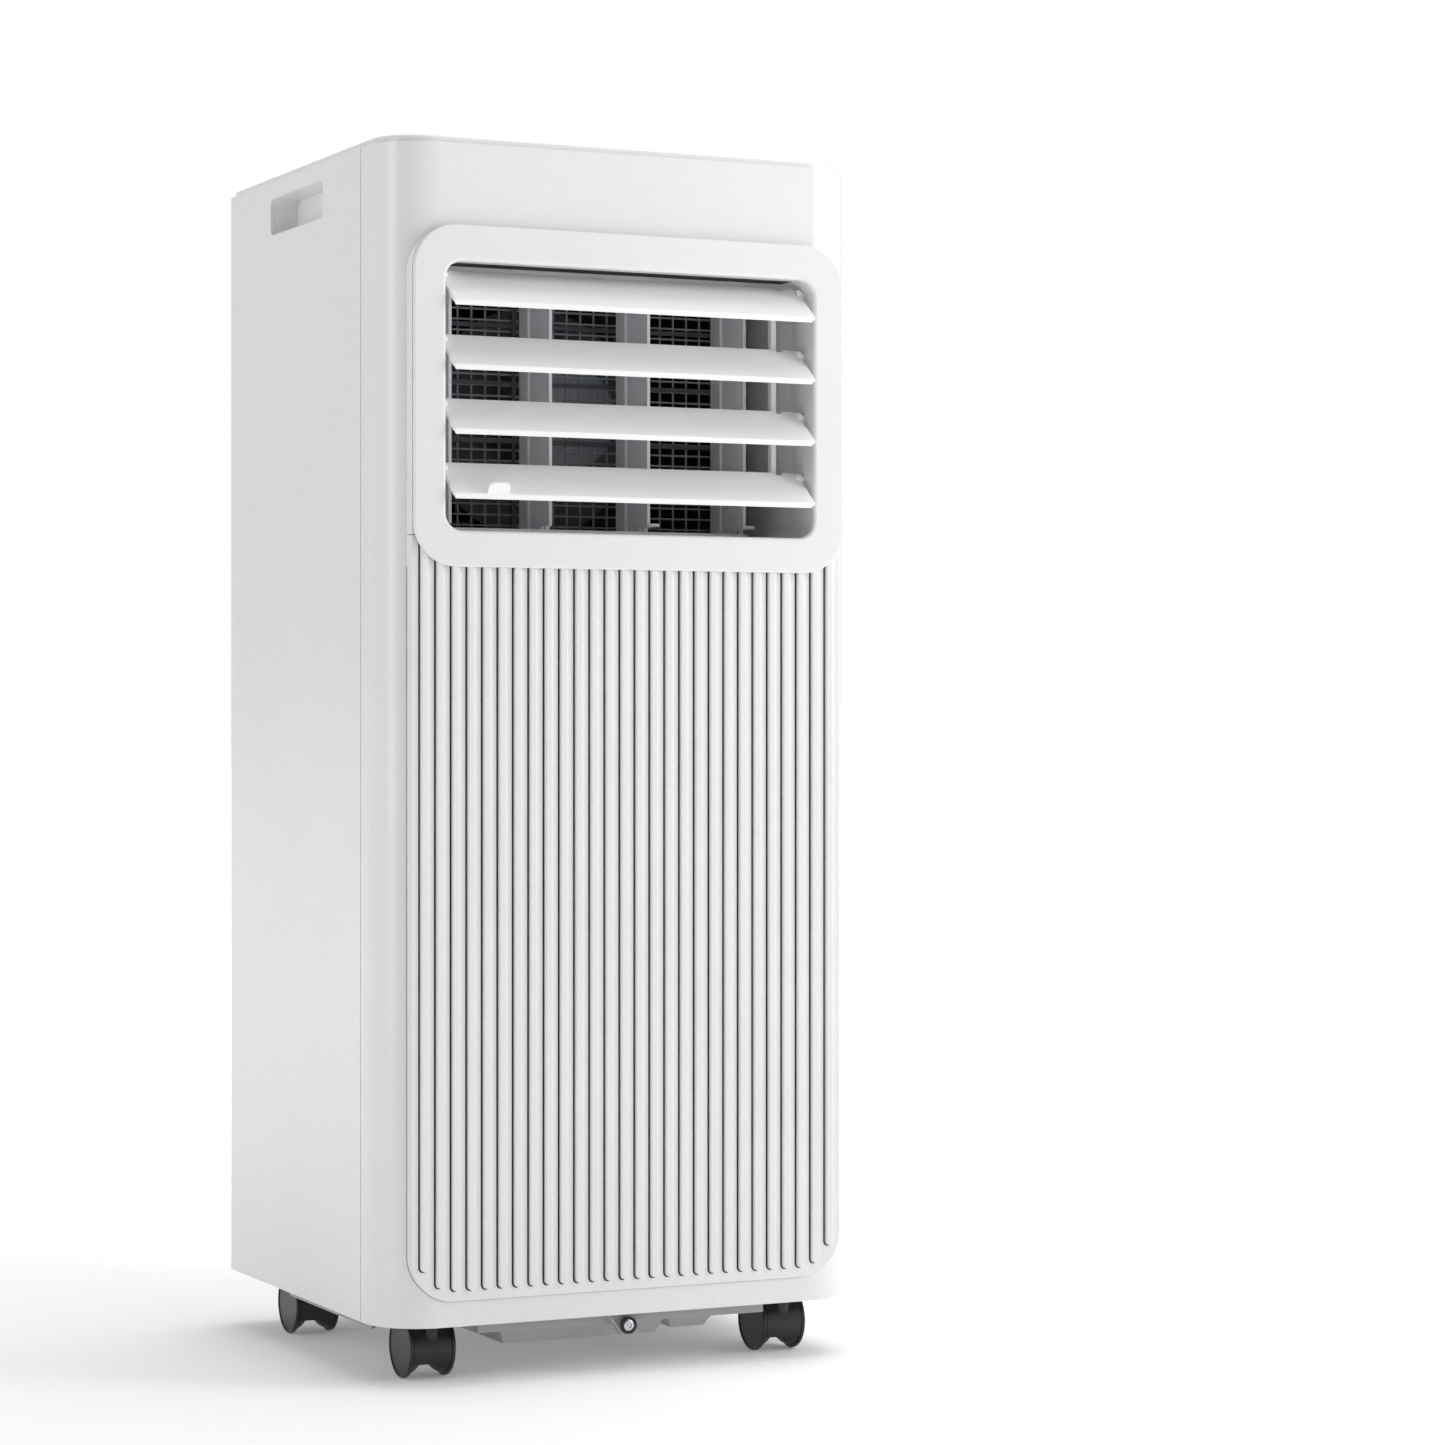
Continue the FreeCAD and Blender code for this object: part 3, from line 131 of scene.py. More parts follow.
def makeStudio():
    bpy.ops.object.camera_add(location=studio["cameraPlace"],
                              rotation=[math.radians(a) for a in studio["cameraTurn"]])
    camera = bpy.context.object
    camera.name = "camera"
    camera.data.lens = studio["lens"]
    camera.data.sensor_width = studio["sensor"]
    bpy.context.scene.camera = camera
    for lamp in lamps:
        bpy.ops.object.light_add(type="AREA", location=lamp["place"])
        light = bpy.context.object
        light.name = lamp["name"]
        light.data.shape = "RECTANGLE"
        light.data.size, light.data.size_y = lamp["size"]
        light.data.energy = lamp["power"]
        aim = Vector(lamp["target"]) - Vector(lamp["place"])
        light.rotation_euler = aim.to_track_quat("-Z", "Y").to_euler()
    bpy.ops.mesh.primitive_plane_add(size=studio["floorSize"], location=(0, 0, 0))
    floor = bpy.context.object
    floor.name = "floor"
    floor.data.materials.append(seamlessPaper())
    bpy.ops.mesh.primitive_plane_add(size=1, location=blackCard["place"],
                                     rotation=[math.radians(a) for a in blackCard["turn"]])
    card = bpy.context.object
    card.name = "blackCard"
    card.scale = (*blackCard["size"], 1)
    card.visible_camera = False
    velvet, velvetTree = newMaterial("blackVelvet")
    cloth = addNode(velvetTree, "ShaderNodeBsdfPrincipled", {
        "Base Color": linear(blackCard["colour"]), "Roughness": 1.0, "Specular IOR Level": 0.0})
    addNode(velvetTree, "ShaderNodeOutputMaterial", {}, {"Surface": cloth.outputs[0]})
    card.data.materials.append(velvet)
    world = bpy.data.worlds.new("studio")
    bpy.context.scene.world = world
    world.use_nodes = True
    tree = world.node_tree
    tree.nodes.clear()
    rays = addNode(tree, "ShaderNodeLightPath")
    around = addNode(tree, "ShaderNodeBackground", {"Color": (1, 1, 1, 1), "Strength": studio["ambient"]})
    seen = addNode(tree, "ShaderNodeBackground", {"Color": (1, 1, 1, 1), "Strength": studio["backdrop"]})
    mixed = addNode(tree, "ShaderNodeMixShader", {}, {
        0: rays.outputs["Is Camera Ray"], 1: around.outputs[0], 2: seen.outputs[0]})
    addNode(tree, "ShaderNodeOutputWorld", {}, {"Surface": mixed.outputs[0]})
    bpy.context.scene.view_settings.view_transform = "Standard"
    print("studio done")


# finishes

# Moulded plastics: the mould's polish or spark grain, and a faint unevenness of the colour.
plastics = {
    "polishedAbs": {"colour": "#e9e9e9", "shade": "#e7e7e7", "roughness": (0.25, 0.31), "grain": 0.8,
                    "bump": 0.0015, "ior": 1.54},
    "louvreAbs": {"colour": "#f5f5f6", "shade": "#f3f3f4", "roughness": (0.28, 0.34), "grain": 0.8,
                  "bump": 0.0015, "ior": 1.54},
    "panPolypropylene": {"colour": "#ababaa", "shade": "#a6a6a5", "roughness": (0.42, 0.52), "grain": 0.7,
                         "bump": 0.004, "ior": 1.49},
    "ductAbs": {"colour": "#e9ebed", "shade": "#e4e6e8", "roughness": (0.45, 0.55), "grain": 0.7,
                "bump": 0.004, "ior": 1.54},
    "boxPolypropylene": {"colour": "#44474b", "shade": "#3a3d41", "roughness": (0.5, 0.65), "grain": 0.6,
                         "bump": 0.03, "ior": 1.49},
    "castorNylon": {"colour": "#161616", "shade": "#121212", "roughness": (0.30, 0.40), "grain": 0.6,
                    "bump": 0.008, "ior": 1.53},
    "buttonSilicone": {"colour": "#d6d9db", "shade": "#cfd2d4", "roughness": (0.5, 0.6), "grain": 0.5,
                       "bump": 0.03, "ior": 1.42},
    "gridPolypropylene": {"colour": "#83878b", "shade": "#787c80", "roughness": (0.5, 0.6), "grain": 0.6,
                          "bump": 0.004, "ior": 1.49},
    "fanPolypropylene": {"colour": "#5d6064", "shade": "#55585c", "roughness": (0.5, 0.6), "grain": 0.6,
                         "bump": 0.03, "ior": 1.49},
}


def mouldedPlastic(name):
    look = plastics[name]
    material, tree = newMaterial(name)
    coords = addNode(tree, "ShaderNodeTexCoord")
    place = coords.outputs["Object"]
    cloud = addNode(tree, "ShaderNodeTexNoise", {"Scale": 11.0, "Detail": 4.0}, {"Vector": place})
    colour = addNode(tree, "ShaderNodeValToRGB",
                     {"stops": [(0.35, linear(look["shade"])), (0.65, linear(look["colour"]))]},
                     {"Fac": cloud.outputs["Fac"]})
    # spark grain of the mould, in millimetres; drawn at least 0.5 mm wide so that it shows
    grain = addNode(tree, "ShaderNodeTexNoise", {"Scale": 1 / (look["grain"] * mm), "Detail": 2.0},
                    {"Vector": place})
    low, high = look["roughness"]
    gloss = addNode(tree, "ShaderNodeMapRange", {"To Min": low, "To Max": high},
                    {"Value": grain.outputs["Fac"]})
    relief = addNode(tree, "ShaderNodeBump", {"Strength": 1.0, "Distance": look["bump"] * mm},
                     {"Height": grain.outputs["Fac"]})
    surface = addNode(tree, "ShaderNodeBsdfPrincipled", {"IOR": look["ior"]},
                      {"Base Color": colour.outputs["Color"], "Roughness": gloss.outputs["Result"],
                       "Normal": relief.outputs["Normal"]})
    addNode(tree, "ShaderNodeOutputMaterial", {}, {"Surface": surface.outputs[0]})
    return material


def nitrileRubber():
    # matt black rubber with a dusty bloom
    material, tree = newMaterial("nitrileRubber")
    coords = addNode(tree, "ShaderNodeTexCoord")
    bloom = addNode(tree, "ShaderNodeTexNoise", {"Scale": 90.0, "Detail": 5.0},
                    {"Vector": coords.outputs["Object"]})
    colour = addNode(tree, "ShaderNodeValToRGB",
                     {"stops": [(0.4, linear("#1c1c1c")), (0.75, linear("#303030"))]},
                     {"Fac": bloom.outputs["Fac"]})
    relief = addNode(tree, "ShaderNodeBump", {"Distance": 0.03 * mm}, {"Height": bloom.outputs["Fac"]})
    surface = addNode(tree, "ShaderNodeBsdfPrincipled", {"Roughness": 0.75, "IOR": 1.52},
                      {"Base Color": colour.outputs["Color"], "Normal": relief.outputs["Normal"]})
    addNode(tree, "ShaderNodeOutputMaterial", {}, {"Surface": surface.outputs[0]})
    return material


def zincPlate():
    # bright zinc on a steel screw, with fine turning marks
    material, tree = newMaterial("zincPlate")
    coords = addNode(tree, "ShaderNodeTexCoord")
    marks = addNode(tree, "ShaderNodeTexNoise", {"Scale": 1400.0, "Detail": 3.0},
                    {"Vector": coords.outputs["Object"]})
    gloss = addNode(tree, "ShaderNodeMapRange", {"To Min": 0.22, "To Max": 0.42},
                    {"Value": marks.outputs["Fac"]})
    relief = addNode(tree, "ShaderNodeBump", {"Distance": 0.02 * mm}, {"Height": marks.outputs["Fac"]})
    surface = addNode(tree, "ShaderNodeBsdfPrincipled", {"Base Color": linear("#c9cbd0"), "Metallic": 1.0},
                      {"Roughness": gloss.outputs["Result"], "Normal": relief.outputs["Normal"]})
    addNode(tree, "ShaderNodeOutputMaterial", {}, {"Surface": surface.outputs[0]})
    return material


def finAluminium():
    # stacked aluminium fins, 1.4 mm apart, seen on edge; the dark bands between the bright fin edges are
    # painted shade in the gaps
    material, tree = newMaterial("finAluminium")
    coords = addNode(tree, "ShaderNodeTexCoord")
    fins = addNode(tree, "ShaderNodeTexWave", {"Scale": 1 / (1.4 * mm) / 20 * math.pi, "Distortion": 0.4,
                                               "Detail": 1.0, "Detail Scale": 4.0},
                   {"Vector": coords.outputs["Object"]})
    colour = addNode(tree, "ShaderNodeValToRGB",
                     {"stops": [(0.3, linear("#6f757c")), (0.6, linear("#cfd4da"))]},
                     {"Fac": fins.outputs["Fac"]})
    relief = addNode(tree, "ShaderNodeBump", {"Distance": 0.4 * mm}, {"Height": fins.outputs["Fac"]})
    surface = addNode(tree, "ShaderNodeBsdfPrincipled", {"Metallic": 0.9, "Roughness": 0.4},
                      {"Base Color": colour.outputs["Color"], "Normal": relief.outputs["Normal"]})
    addNode(tree, "ShaderNodeOutputMaterial", {}, {"Surface": surface.outputs[0]})
    return material


def drawnCopper():
    # drawn copper tube, browned in patches where it was brazed
    material, tree = newMaterial("drawnCopper")
    coords = addNode(tree, "ShaderNodeTexCoord")
    tarnish = addNode(tree, "ShaderNodeTexNoise", {"Scale": 60.0, "Detail": 5.0},
                      {"Vector": coords.outputs["Object"]})
    colour = addNode(tree, "ShaderNodeValToRGB",
                     {"stops": [(0.35, linear("#9c5a3c")), (0.6, linear("#d08a62"))]},
                     {"Fac": tarnish.outputs["Fac"]})
    gloss = addNode(tree, "ShaderNodeMapRange", {"To Min": 0.25, "To Max": 0.5},
                    {"Value": tarnish.outputs["Fac"]})
    surface = addNode(tree, "ShaderNodeBsdfPrincipled", {"Metallic": 1.0},
                      {"Base Color": colour.outputs["Color"], "Roughness": gloss.outputs["Result"]})
    addNode(tree, "ShaderNodeOutputMaterial", {}, {"Surface": surface.outputs[0]})
    return material


def bakedEnamel(name, dark, light, roughness):
    # sprayed and baked paint on steel: orange peel about 2 mm across
    material, tree = newMaterial(name)
    coords = addNode(tree, "ShaderNodeTexCoord")
    peel = addNode(tree, "ShaderNodeTexNoise", {"Scale": 500.0, "Detail": 2.0},
                   {"Vector": coords.outputs["Object"]})
    colour = addNode(tree, "ShaderNodeValToRGB", {"stops": [(0.3, linear(dark)), (0.7, linear(light))]},
                     {"Fac": peel.outputs["Fac"]})
    relief = addNode(tree, "ShaderNodeBump", {"Distance": 0.04 * mm}, {"Height": peel.outputs["Fac"]})
    surface = addNode(tree, "ShaderNodeBsdfPrincipled", {"Roughness": roughness, "IOR": 1.5},
                      {"Base Color": colour.outputs["Color"], "Normal": relief.outputs["Normal"]})
    addNode(tree, "ShaderNodeOutputMaterial", {}, {"Surface": surface.outputs[0]})
    return material


def smokedAcrylic():
    # dark polished window over the display, with faint wipe marks
    material, tree = newMaterial("smokedAcrylic")
    coords = addNode(tree, "ShaderNodeTexCoord")
    wipes = addNode(tree, "ShaderNodeTexNoise", {"Scale": 40.0, "Detail": 6.0, "Distortion": 1.5},
                    {"Vector": coords.outputs["Object"]})
    gloss = addNode(tree, "ShaderNodeMapRange", {"To Min": 0.04, "To Max": 0.12},
                    {"Value": wipes.outputs["Fac"]})
    surface = addNode(tree, "ShaderNodeBsdfPrincipled", {"Base Color": linear("#0d0e10"), "IOR": 1.49},
                      {"Roughness": gloss.outputs["Result"]})
    addNode(tree, "ShaderNodeOutputMaterial", {}, {"Surface": surface.outputs[0]})
    return material


def solderMask():
    # green lacquer over a circuit board's tracks
    material, tree = newMaterial("solderMask")
    coords = addNode(tree, "ShaderNodeTexCoord")
    tracks = addNode(tree, "ShaderNodeTexBrick", {"Scale": 90.0, "Color1": linear("#1f5a34"),
                                                  "Color2": linear("#17492a"), "Mortar": linear("#2f7a49")},
                     {"Vector": coords.outputs["Object"]})
    surface = addNode(tree, "ShaderNodeBsdfPrincipled", {"Roughness": 0.35, "IOR": 1.5},
                      {"Base Color": tracks.outputs["Color"]})
    addNode(tree, "ShaderNodeOutputMaterial", {}, {"Surface": surface.outputs[0]})
    return material


def wovenNylon():
    # filter cloth; its threads are drawn 1.2 mm apart, coarser than real, so that they show; the near-black
    # gaps between the threads are painted shade
    material, tree = newMaterial("wovenNylon")
    coords = addNode(tree, "ShaderNodeTexCoord")
    pitch = 1 / (1.2 * mm) / 20 * math.pi
    across = addNode(tree, "ShaderNodeTexWave", {"Scale": pitch, "bands_direction": "X"},
                     {"Vector": coords.outputs["Object"]})
    up = addNode(tree, "ShaderNodeTexWave", {"Scale": pitch, "bands_direction": "Z"},
                 {"Vector": coords.outputs["Object"]})
    threads = addNode(tree, "ShaderNodeMath", {"operation": "MAXIMUM"},
                      {0: across.outputs["Fac"], 1: up.outputs["Fac"]})
    colour = addNode(tree, "ShaderNodeValToRGB",
                     {"stops": [(0.45, linear("#0b0b0c")), (0.8, linear("#3c3d40"))]},
                     {"Fac": threads.outputs["Value"]})
    relief = addNode(tree, "ShaderNodeBump", {"Distance": 0.3 * mm}, {"Height": threads.outputs["Value"]})
    surface = addNode(tree, "ShaderNodeBsdfPrincipled", {"Roughness": 0.7, "Sheen Weight": 0.2},
                      {"Base Color": colour.outputs["Color"], "Normal": relief.outputs["Normal"]})
    addNode(tree, "ShaderNodeOutputMaterial", {}, {"Surface": surface.outputs[0]})
    return material


def printedInk():
    # pad-printed grey ink on the buttons, slightly uneven at its edges
    material, tree = newMaterial("printedInk")
    coords = addNode(tree, "ShaderNodeTexCoord")
    cover = addNode(tree, "ShaderNodeTexNoise", {"Scale": 2500.0, "Detail": 2.0},
                    {"Vector": coords.outputs["Object"]})
    colour = addNode(tree, "ShaderNodeValToRGB",
                     {"stops": [(0.3, linear("#4a4e52")), (0.7, linear("#5b5f63"))]},
                     {"Fac": cover.outputs["Fac"]})
    surface = addNode(tree, "ShaderNodeBsdfPrincipled", {"Roughness": 0.5},
                      {"Base Color": colour.outputs["Color"]})
    addNode(tree, "ShaderNodeOutputMaterial", {}, {"Surface": surface.outputs[0]})
    return material


def makeFinishes():
    made = {name: mouldedPlastic(name) for name in plastics}
    made["printedInk"] = printedInk()
    made["nitrileRubber"] = nitrileRubber()
    made["zincPlate"] = zincPlate()
    made["finAluminium"] = finAluminium()
    made["drawnCopper"] = drawnCopper()
    made["motorEnamel"] = bakedEnamel("motorEnamel", "#6c6f73", "#7c7f83", 0.35)
    made["compressorEnamel"] = bakedEnamel("compressorEnamel", "#17181a", "#222326", 0.3)
    made["smokedAcrylic"] = smokedAcrylic()
    made["solderMask"] = solderMask()
    made["wovenNylon"] = wovenNylon()
    print("finishes done")
    return made


makeStudio()
finishes = makeFinishes()

# which finish each of the record's slots takes
slotFinish = {
    "white_shell": "polishedAbs", "white_louvre": "louvreAbs", "pan_grey": "panPolypropylene",
    "duct_grey": "ductAbs", "box_dark": "boxPolypropylene", "castor_black": "castorNylon",
    "button_grey": "buttonSilicone", "display_black": "smokedAcrylic", "board_green": "solderMask",
    "coil_fins": "finAluminium", "copper_tube": "drawnCopper", "steel_screw": "zincPlate",
    "motor_can": "motorEnamel", "compressor_black": "compressorEnamel", "fan_white": "fanPolypropylene",
    "rubber_black": "nitrileRubber", "mesh_nylon": "wovenNylon",
}


def dressNodes():
    slots = {entry["node"]: entry["material_slot"] for entry in frame["record"]["subparts"]}
    for name, node in frame["nodes"].items():
        for holder in node.material_slots:
            holder.material = finishes[slotFinish[slots[name]]]
    print("nodes dressed")


dressNodes()


# mouldings: the frame's shapes with the mould's rounded edges

# edge radius by node; what isn't here keeps the frame's own edges
roundings = {
    "front_housing": 0.6, "side_panel_left": 0.5, "side_panel_right": 0.5, "rear_panel": 0.5,
    "handle_cup_left": 0.6, "handle_cup_right": 0.6,
    "louvre_frame": 0.8, "lower_grille": 0.35, "filter_cassette": 0.35,
    "exhaust_collar": 0.5, "base_pan": 0.8, "louvre_blade_1": 0.45, "louvre_blade_2": 0.45,
    "louvre_blade_3": 0.45, "louvre_blade_4": 0.45, "vane_1": 0.3, "vane_2": 0.3, "vane_3": 0.3,
    "vane_4": 0.3, "castor_fork_front_left": 0.6, "castor_fork_front_right": 0.6,
    "castor_fork_rear_left": 0.6, "castor_fork_rear_right": 0.6,
}
castorWheels = [f"castor_wheel_{place}_{side}"
                for place in ("front_left", "front_right", "rear_left", "rear_right") for side in "lr"]
for wheel in castorWheels:
    roundings[wheel] = 0.5
edgeSegments = 2
sharpAngle = 32.0       # degrees
mergeWithin = 0.002
flatWithin = 0.4        # degrees


def selectOnly(piece):
    deselectAll()
    piece.select_set(True)
    bpy.context.view_layer.objects.active = piece


def applyModifier(piece, kind, settings):
    modifier = piece.modifiers.new(kind.title(), kind)
    for key, value in settings.items():
        setattr(modifier, key, value)
    selectOnly(piece)
    bpy.ops.object.modifier_apply(modifier=modifier.name)


def placeOf(nodeName):
    entry = next(e for e in frame["record"]["subparts"] if e["node"] == nodeName)
    bodies = frame["record"]["behaviour"]["bodies"]
    return entry["material_slot"], next(b for b, nodes in bodies.items() if nodeName in nodes)


def mergedCopy(nodeName, name):
    # a node's shape as a piece of its own, its loose triangles merged; left in edit mode, all selected
    piece = frame["nodes"][nodeName].copy()
    piece.data = piece.data.copy()
    piece.parent = None
    piece.name = name
    bpy.context.scene.collection.objects.link(piece)
    for key in list(piece.keys()):
        del piece[key]
    selectOnly(piece)
    bpy.ops.mesh.customdata_custom_splitnormals_clear()
    bpy.ops.object.mode_set(mode="EDIT")
    bpy.ops.mesh.select_all(action="SELECT")
    bpy.ops.mesh.remove_doubles(threshold=mergeWithin * mm)
    return piece


def mouldedCopy(nodeName, radius):
    slotName, body = placeOf(nodeName)
    piece = mergedCopy(nodeName, nodeName + "_moulding")
    bpy.ops.mesh.dissolve_limited(angle_limit=math.radians(flatWithin))
    bpy.ops.object.mode_set(mode="OBJECT")
    applyModifier(piece, "BEVEL", {"width": radius * mm, "segments": edgeSegments, "limit_method": "ANGLE",
                                   "angle_limit": math.radians(sharpAngle), "use_clamp_overlap": True})
    bpy.ops.object.shade_smooth_by_angle(angle=math.radians(sharpAngle))
    applyModifier(piece, "WEIGHTED_NORMAL", {"keep_sharp": True, "weight": 100})
    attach(piece, body)
    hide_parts(nodeName)


for nodeName, radius in roundings.items():
    mouldedCopy(nodeName, radius)
print("mouldings done")


# ribbed front panel

ribs = {
    "count": 28, "pitch": 9.18, "width": 4.7, "height": 2.0,
    "shoulder": 1.0, "shoulderSegments": 4, "endInset": 6.0, "corner": 25.0, "topCover": 2.0,
    "slot": 1.1, "slotDepth": 1.35, "slotPast": 0.3,      # a slot runs up each rib's left side
    # the strip of painted shade in each slot: how far it sinks, its depth and its gap to the slot's wall
    "liningSink": 0.3, "liningDepth": 0.7, "liningGap": 0.1,
    "steepest": 0.92,      # share of the corner's radius past which the ribs' feet rise no more
}


def selectWhere(piece, kind, test):
    # in edit mode: selects the vertices, edges or faces that pass the test
    bpy.ops.mesh.select_mode(type=kind)
    bpy.ops.mesh.select_all(action="DESELECT")
    shape = bmesh.from_edit_mesh(piece.data)
    chosen = {"VERT": shape.verts, "EDGE": shape.edges, "FACE": shape.faces}[kind]
    for item in chosen:
        item.select_set(bool(test(item)))
    shape.select_flush_mode()
    bmesh.update_edit_mesh(piece.data)


def settle(piece, finish, body=None):
    # a finished piece: its place goes into its mesh, and it gets its finish and body
    selectOnly(piece)
    bpy.ops.object.transform_apply(location=True, rotation=True, scale=True)
    piece.data.materials.clear()
    piece.data.materials.append(finishes[finish])
    if body:
        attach(piece, body)


def joined(pieces, name):
    deselectAll()
    for piece in pieces:
        piece.select_set(True)
    bpy.context.view_layer.objects.active = pieces[0]
    if len(pieces) > 1:
        bpy.ops.object.join()
    pieces[0].name = name
    return pieces[0]


def pill(width, depth, low, high, x, front, shoulder):
    # upright bar with round ends, its front face towards -Y; lengths in metres
    bpy.ops.object.select_all(action="DESELECT")
    bpy.ops.mesh.primitive_cylinder_add(vertices=28, radius=width / 2, depth=depth,
                                        location=(x, front + depth / 2, low + width / 2),
                                        rotation=(math.pi / 2, 0, 0))
    bar = bpy.context.object
    bpy.ops.object.transform_apply(location=True, rotation=True, scale=True)
    bpy.ops.object.mode_set(mode="EDIT")
    selectWhere(bar, "VERT", lambda v: v.co.z > low + width / 2 + 1e-5)
    bpy.ops.transform.translate(value=(0, 0, high - low - width))
    if shoulder:
        selectWhere(bar, "EDGE", lambda e: all(v.co.y < front + 1e-6 for v in e.verts))
        bpy.ops.mesh.bevel(offset=shoulder, segments=ribs["shoulderSegments"], affect="EDGES",
                           clamp_overlap=True)
    bpy.ops.object.mode_set(mode="OBJECT")
    return bar


def ribFoot(x, low):
    inner = (ribs["corner"] - ribs["endInset"]) * mm
    into = min(max(abs(x) - (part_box("rib_panel")[1][0] - ribs["corner"] * mm), 0), inner * ribs["steepest"])
    return low + ribs["endInset"] * mm + inner - math.sqrt(inner ** 2 - into ** 2)


def makeRibPanel():
    low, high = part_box("rib_panel")
    face = low[1] + ribs["height"] * mm
    plate = mergedCopy("rib_panel", "ribPanelPlate")
    bpy.ops.mesh.bisect(plane_co=(0, face + 0.02 * mm, 0), plane_no=(0, -1, 0), use_fill=True, clear_outer=True)
    bpy.ops.mesh.select_all(action="SELECT")
    bpy.ops.mesh.dissolve_limited(angle_limit=math.radians(flatWithin))
    bpy.ops.object.mode_set(mode="OBJECT")
    bars, cutters, slotShadeStrips = [], [], []
    top = high[2] - ribs["topCover"] * mm
    wide, slot, deep = ribs["width"] * mm, ribs["slot"] * mm, ribs["slotDepth"] * mm
    shadeWidth = slot - ribs["liningGap"] * mm
    for index in range(ribs["count"]):
        x = (index - (ribs["count"] - 1) / 2) * ribs["pitch"] * mm
        foot = ribFoot(x, low[2])
        bars.append(pill(wide, ribs["height"] * mm + deep, foot, top, x, low[1], ribs["shoulder"] * mm))
        cutters.append(pill(wide + slot, 2 * deep, foot - slot / 2, top + ribs["slotPast"] * mm,
                            x - slot / 2, face - deep, 0))
        # painted shade: a dark strip at the bottom of each slot, darkening it as shade would
        slotShadeStrips.append(pill(wide + shadeWidth, ribs["liningDepth"] * mm, foot - shadeWidth / 2, top, x - slot / 2,
                            face + ribs["liningSink"] * mm, 0))
    cutter = joined(cutters, "slotCutter")
    applyModifier(plate, "BOOLEAN", {"object": cutter, "operation": "DIFFERENCE", "solver": "EXACT"})
    bpy.data.objects.remove(cutter)
    bar = joined(bars, "ribBars")
    for piece in (plate, bar):
        selectOnly(piece)
        bpy.ops.object.shade_smooth_by_angle(angle=math.radians(sharpAngle))
        applyModifier(piece, "WEIGHTED_NORMAL", {"keep_sharp": True})
        settle(piece, "polishedAbs", "chassis")
    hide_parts("rib_panel")
    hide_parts("rib_panel")
    # the dark strips are painted shade in the rib slots
    lining = joined(slotShadeStrips, "ribSlotPaintedShade")
    settle(lining, "nitrileRubber", "chassis")
    print("ribbed panel done")


makeRibPanel()


# safety grid behind the vanes

safetyGrid = {"across": 8.4, "up": 6.2, "bar": 1.1, "depth": 1.2, "back": -45.4, "margin": 9.0,
              "chamfer": 0.25, "stagger": 0.4}


def makeSafetyGrid():
    low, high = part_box("outlet_duct")
    margin = safetyGrid["margin"] * mm
    left, right = low[0] + margin, high[0] - margin
    bottom, top = low[2] + margin, high[2] - margin
    bar, depth, y = safetyGrid["bar"] * mm, safetyGrid["depth"] * mm, safetyGrid["back"] * mm
    strips = []

    def strip(x0, x1, z0, z1, y0):
        bpy.ops.object.select_all(action="DESELECT")
        bpy.ops.mesh.primitive_cube_add(size=1, location=((x0 + x1) / 2, y0, (z0 + z1) / 2))
        piece = bpy.context.object
        piece.scale = (x1 - x0, depth, z1 - z0)
        bpy.ops.object.transform_apply(location=True, rotation=True, scale=True)
        bpy.ops.object.mode_set(mode="EDIT")
        bpy.ops.mesh.select_all(action="SELECT")
        bpy.ops.mesh.bevel(offset=safetyGrid["chamfer"] * mm, segments=1, affect="EDGES")
        bpy.ops.object.mode_set(mode="OBJECT")
        strips.append(piece)

    rows = int((top - bottom) / (safetyGrid["up"] * mm))
    columns = int((right - left) / (safetyGrid["across"] * mm))
    for row in range(rows + 1):
        z = bottom + (top - bottom) * row / rows
        strip(left, right, z - bar / 2, z + bar / 2, y)
    for column in range(columns + 1):
        x = left + (right - left) * column / columns
        strip(x - bar / 2, x + bar / 2, bottom, top, y + safetyGrid["stagger"] * mm)
    grid = joined(strips, "safetyGrid")
    settle(grid, "gridPolypropylene", "chassis")
    print("safety grid done")


makeSafetyGrid()


# painted shade: a dark strip under the outlet's ceiling, above the first blade, that darkens the top slot as
# shade would

outletShade = {"front": 9.0, "thick": 0.25, "walls": 7.0, "ends": 10.0}


def makeOutletShade():
    ductLow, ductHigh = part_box("outlet_duct")
    ceiling = ductHigh[2] - outletShade["walls"] * mm
    front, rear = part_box("louvre_frame")[0][1] + outletShade["front"] * mm, ductLow[1]
    wide = ductHigh[0] - (outletShade["walls"] + outletShade["ends"]) * mm
    thick = outletShade["thick"] * mm
    bpy.ops.object.select_all(action="DESELECT")
    bpy.ops.mesh.primitive_cube_add(size=1, location=(0, (front + rear) / 2, ceiling - thick / 2))
    shadePiece = bpy.context.object
    shadePiece.name = "outletShade"
    shadePiece.scale = (2 * wide, rear - front, thick)
    bpy.ops.object.transform_apply(location=True, rotation=True, scale=True)
    bpy.ops.object.mode_set(mode="EDIT")
    selectWhere(shadePiece, "EDGE", lambda e: all(v.co.z < ceiling - thick / 2 for v in e.verts))
    bpy.ops.mesh.bevel(offset=thick / 3, segments=2, affect="EDGES")
    bpy.ops.object.mode_set(mode="OBJECT")
    settle(shadePiece, "nitrileRubber", "chassis")
    print("outlet seal done")


makeOutletShade()


# castor wheels: the raised rim line on each outer disc

wheelRim = {"radius": 16.1, "wire": 0.22, "sink": 0.28}


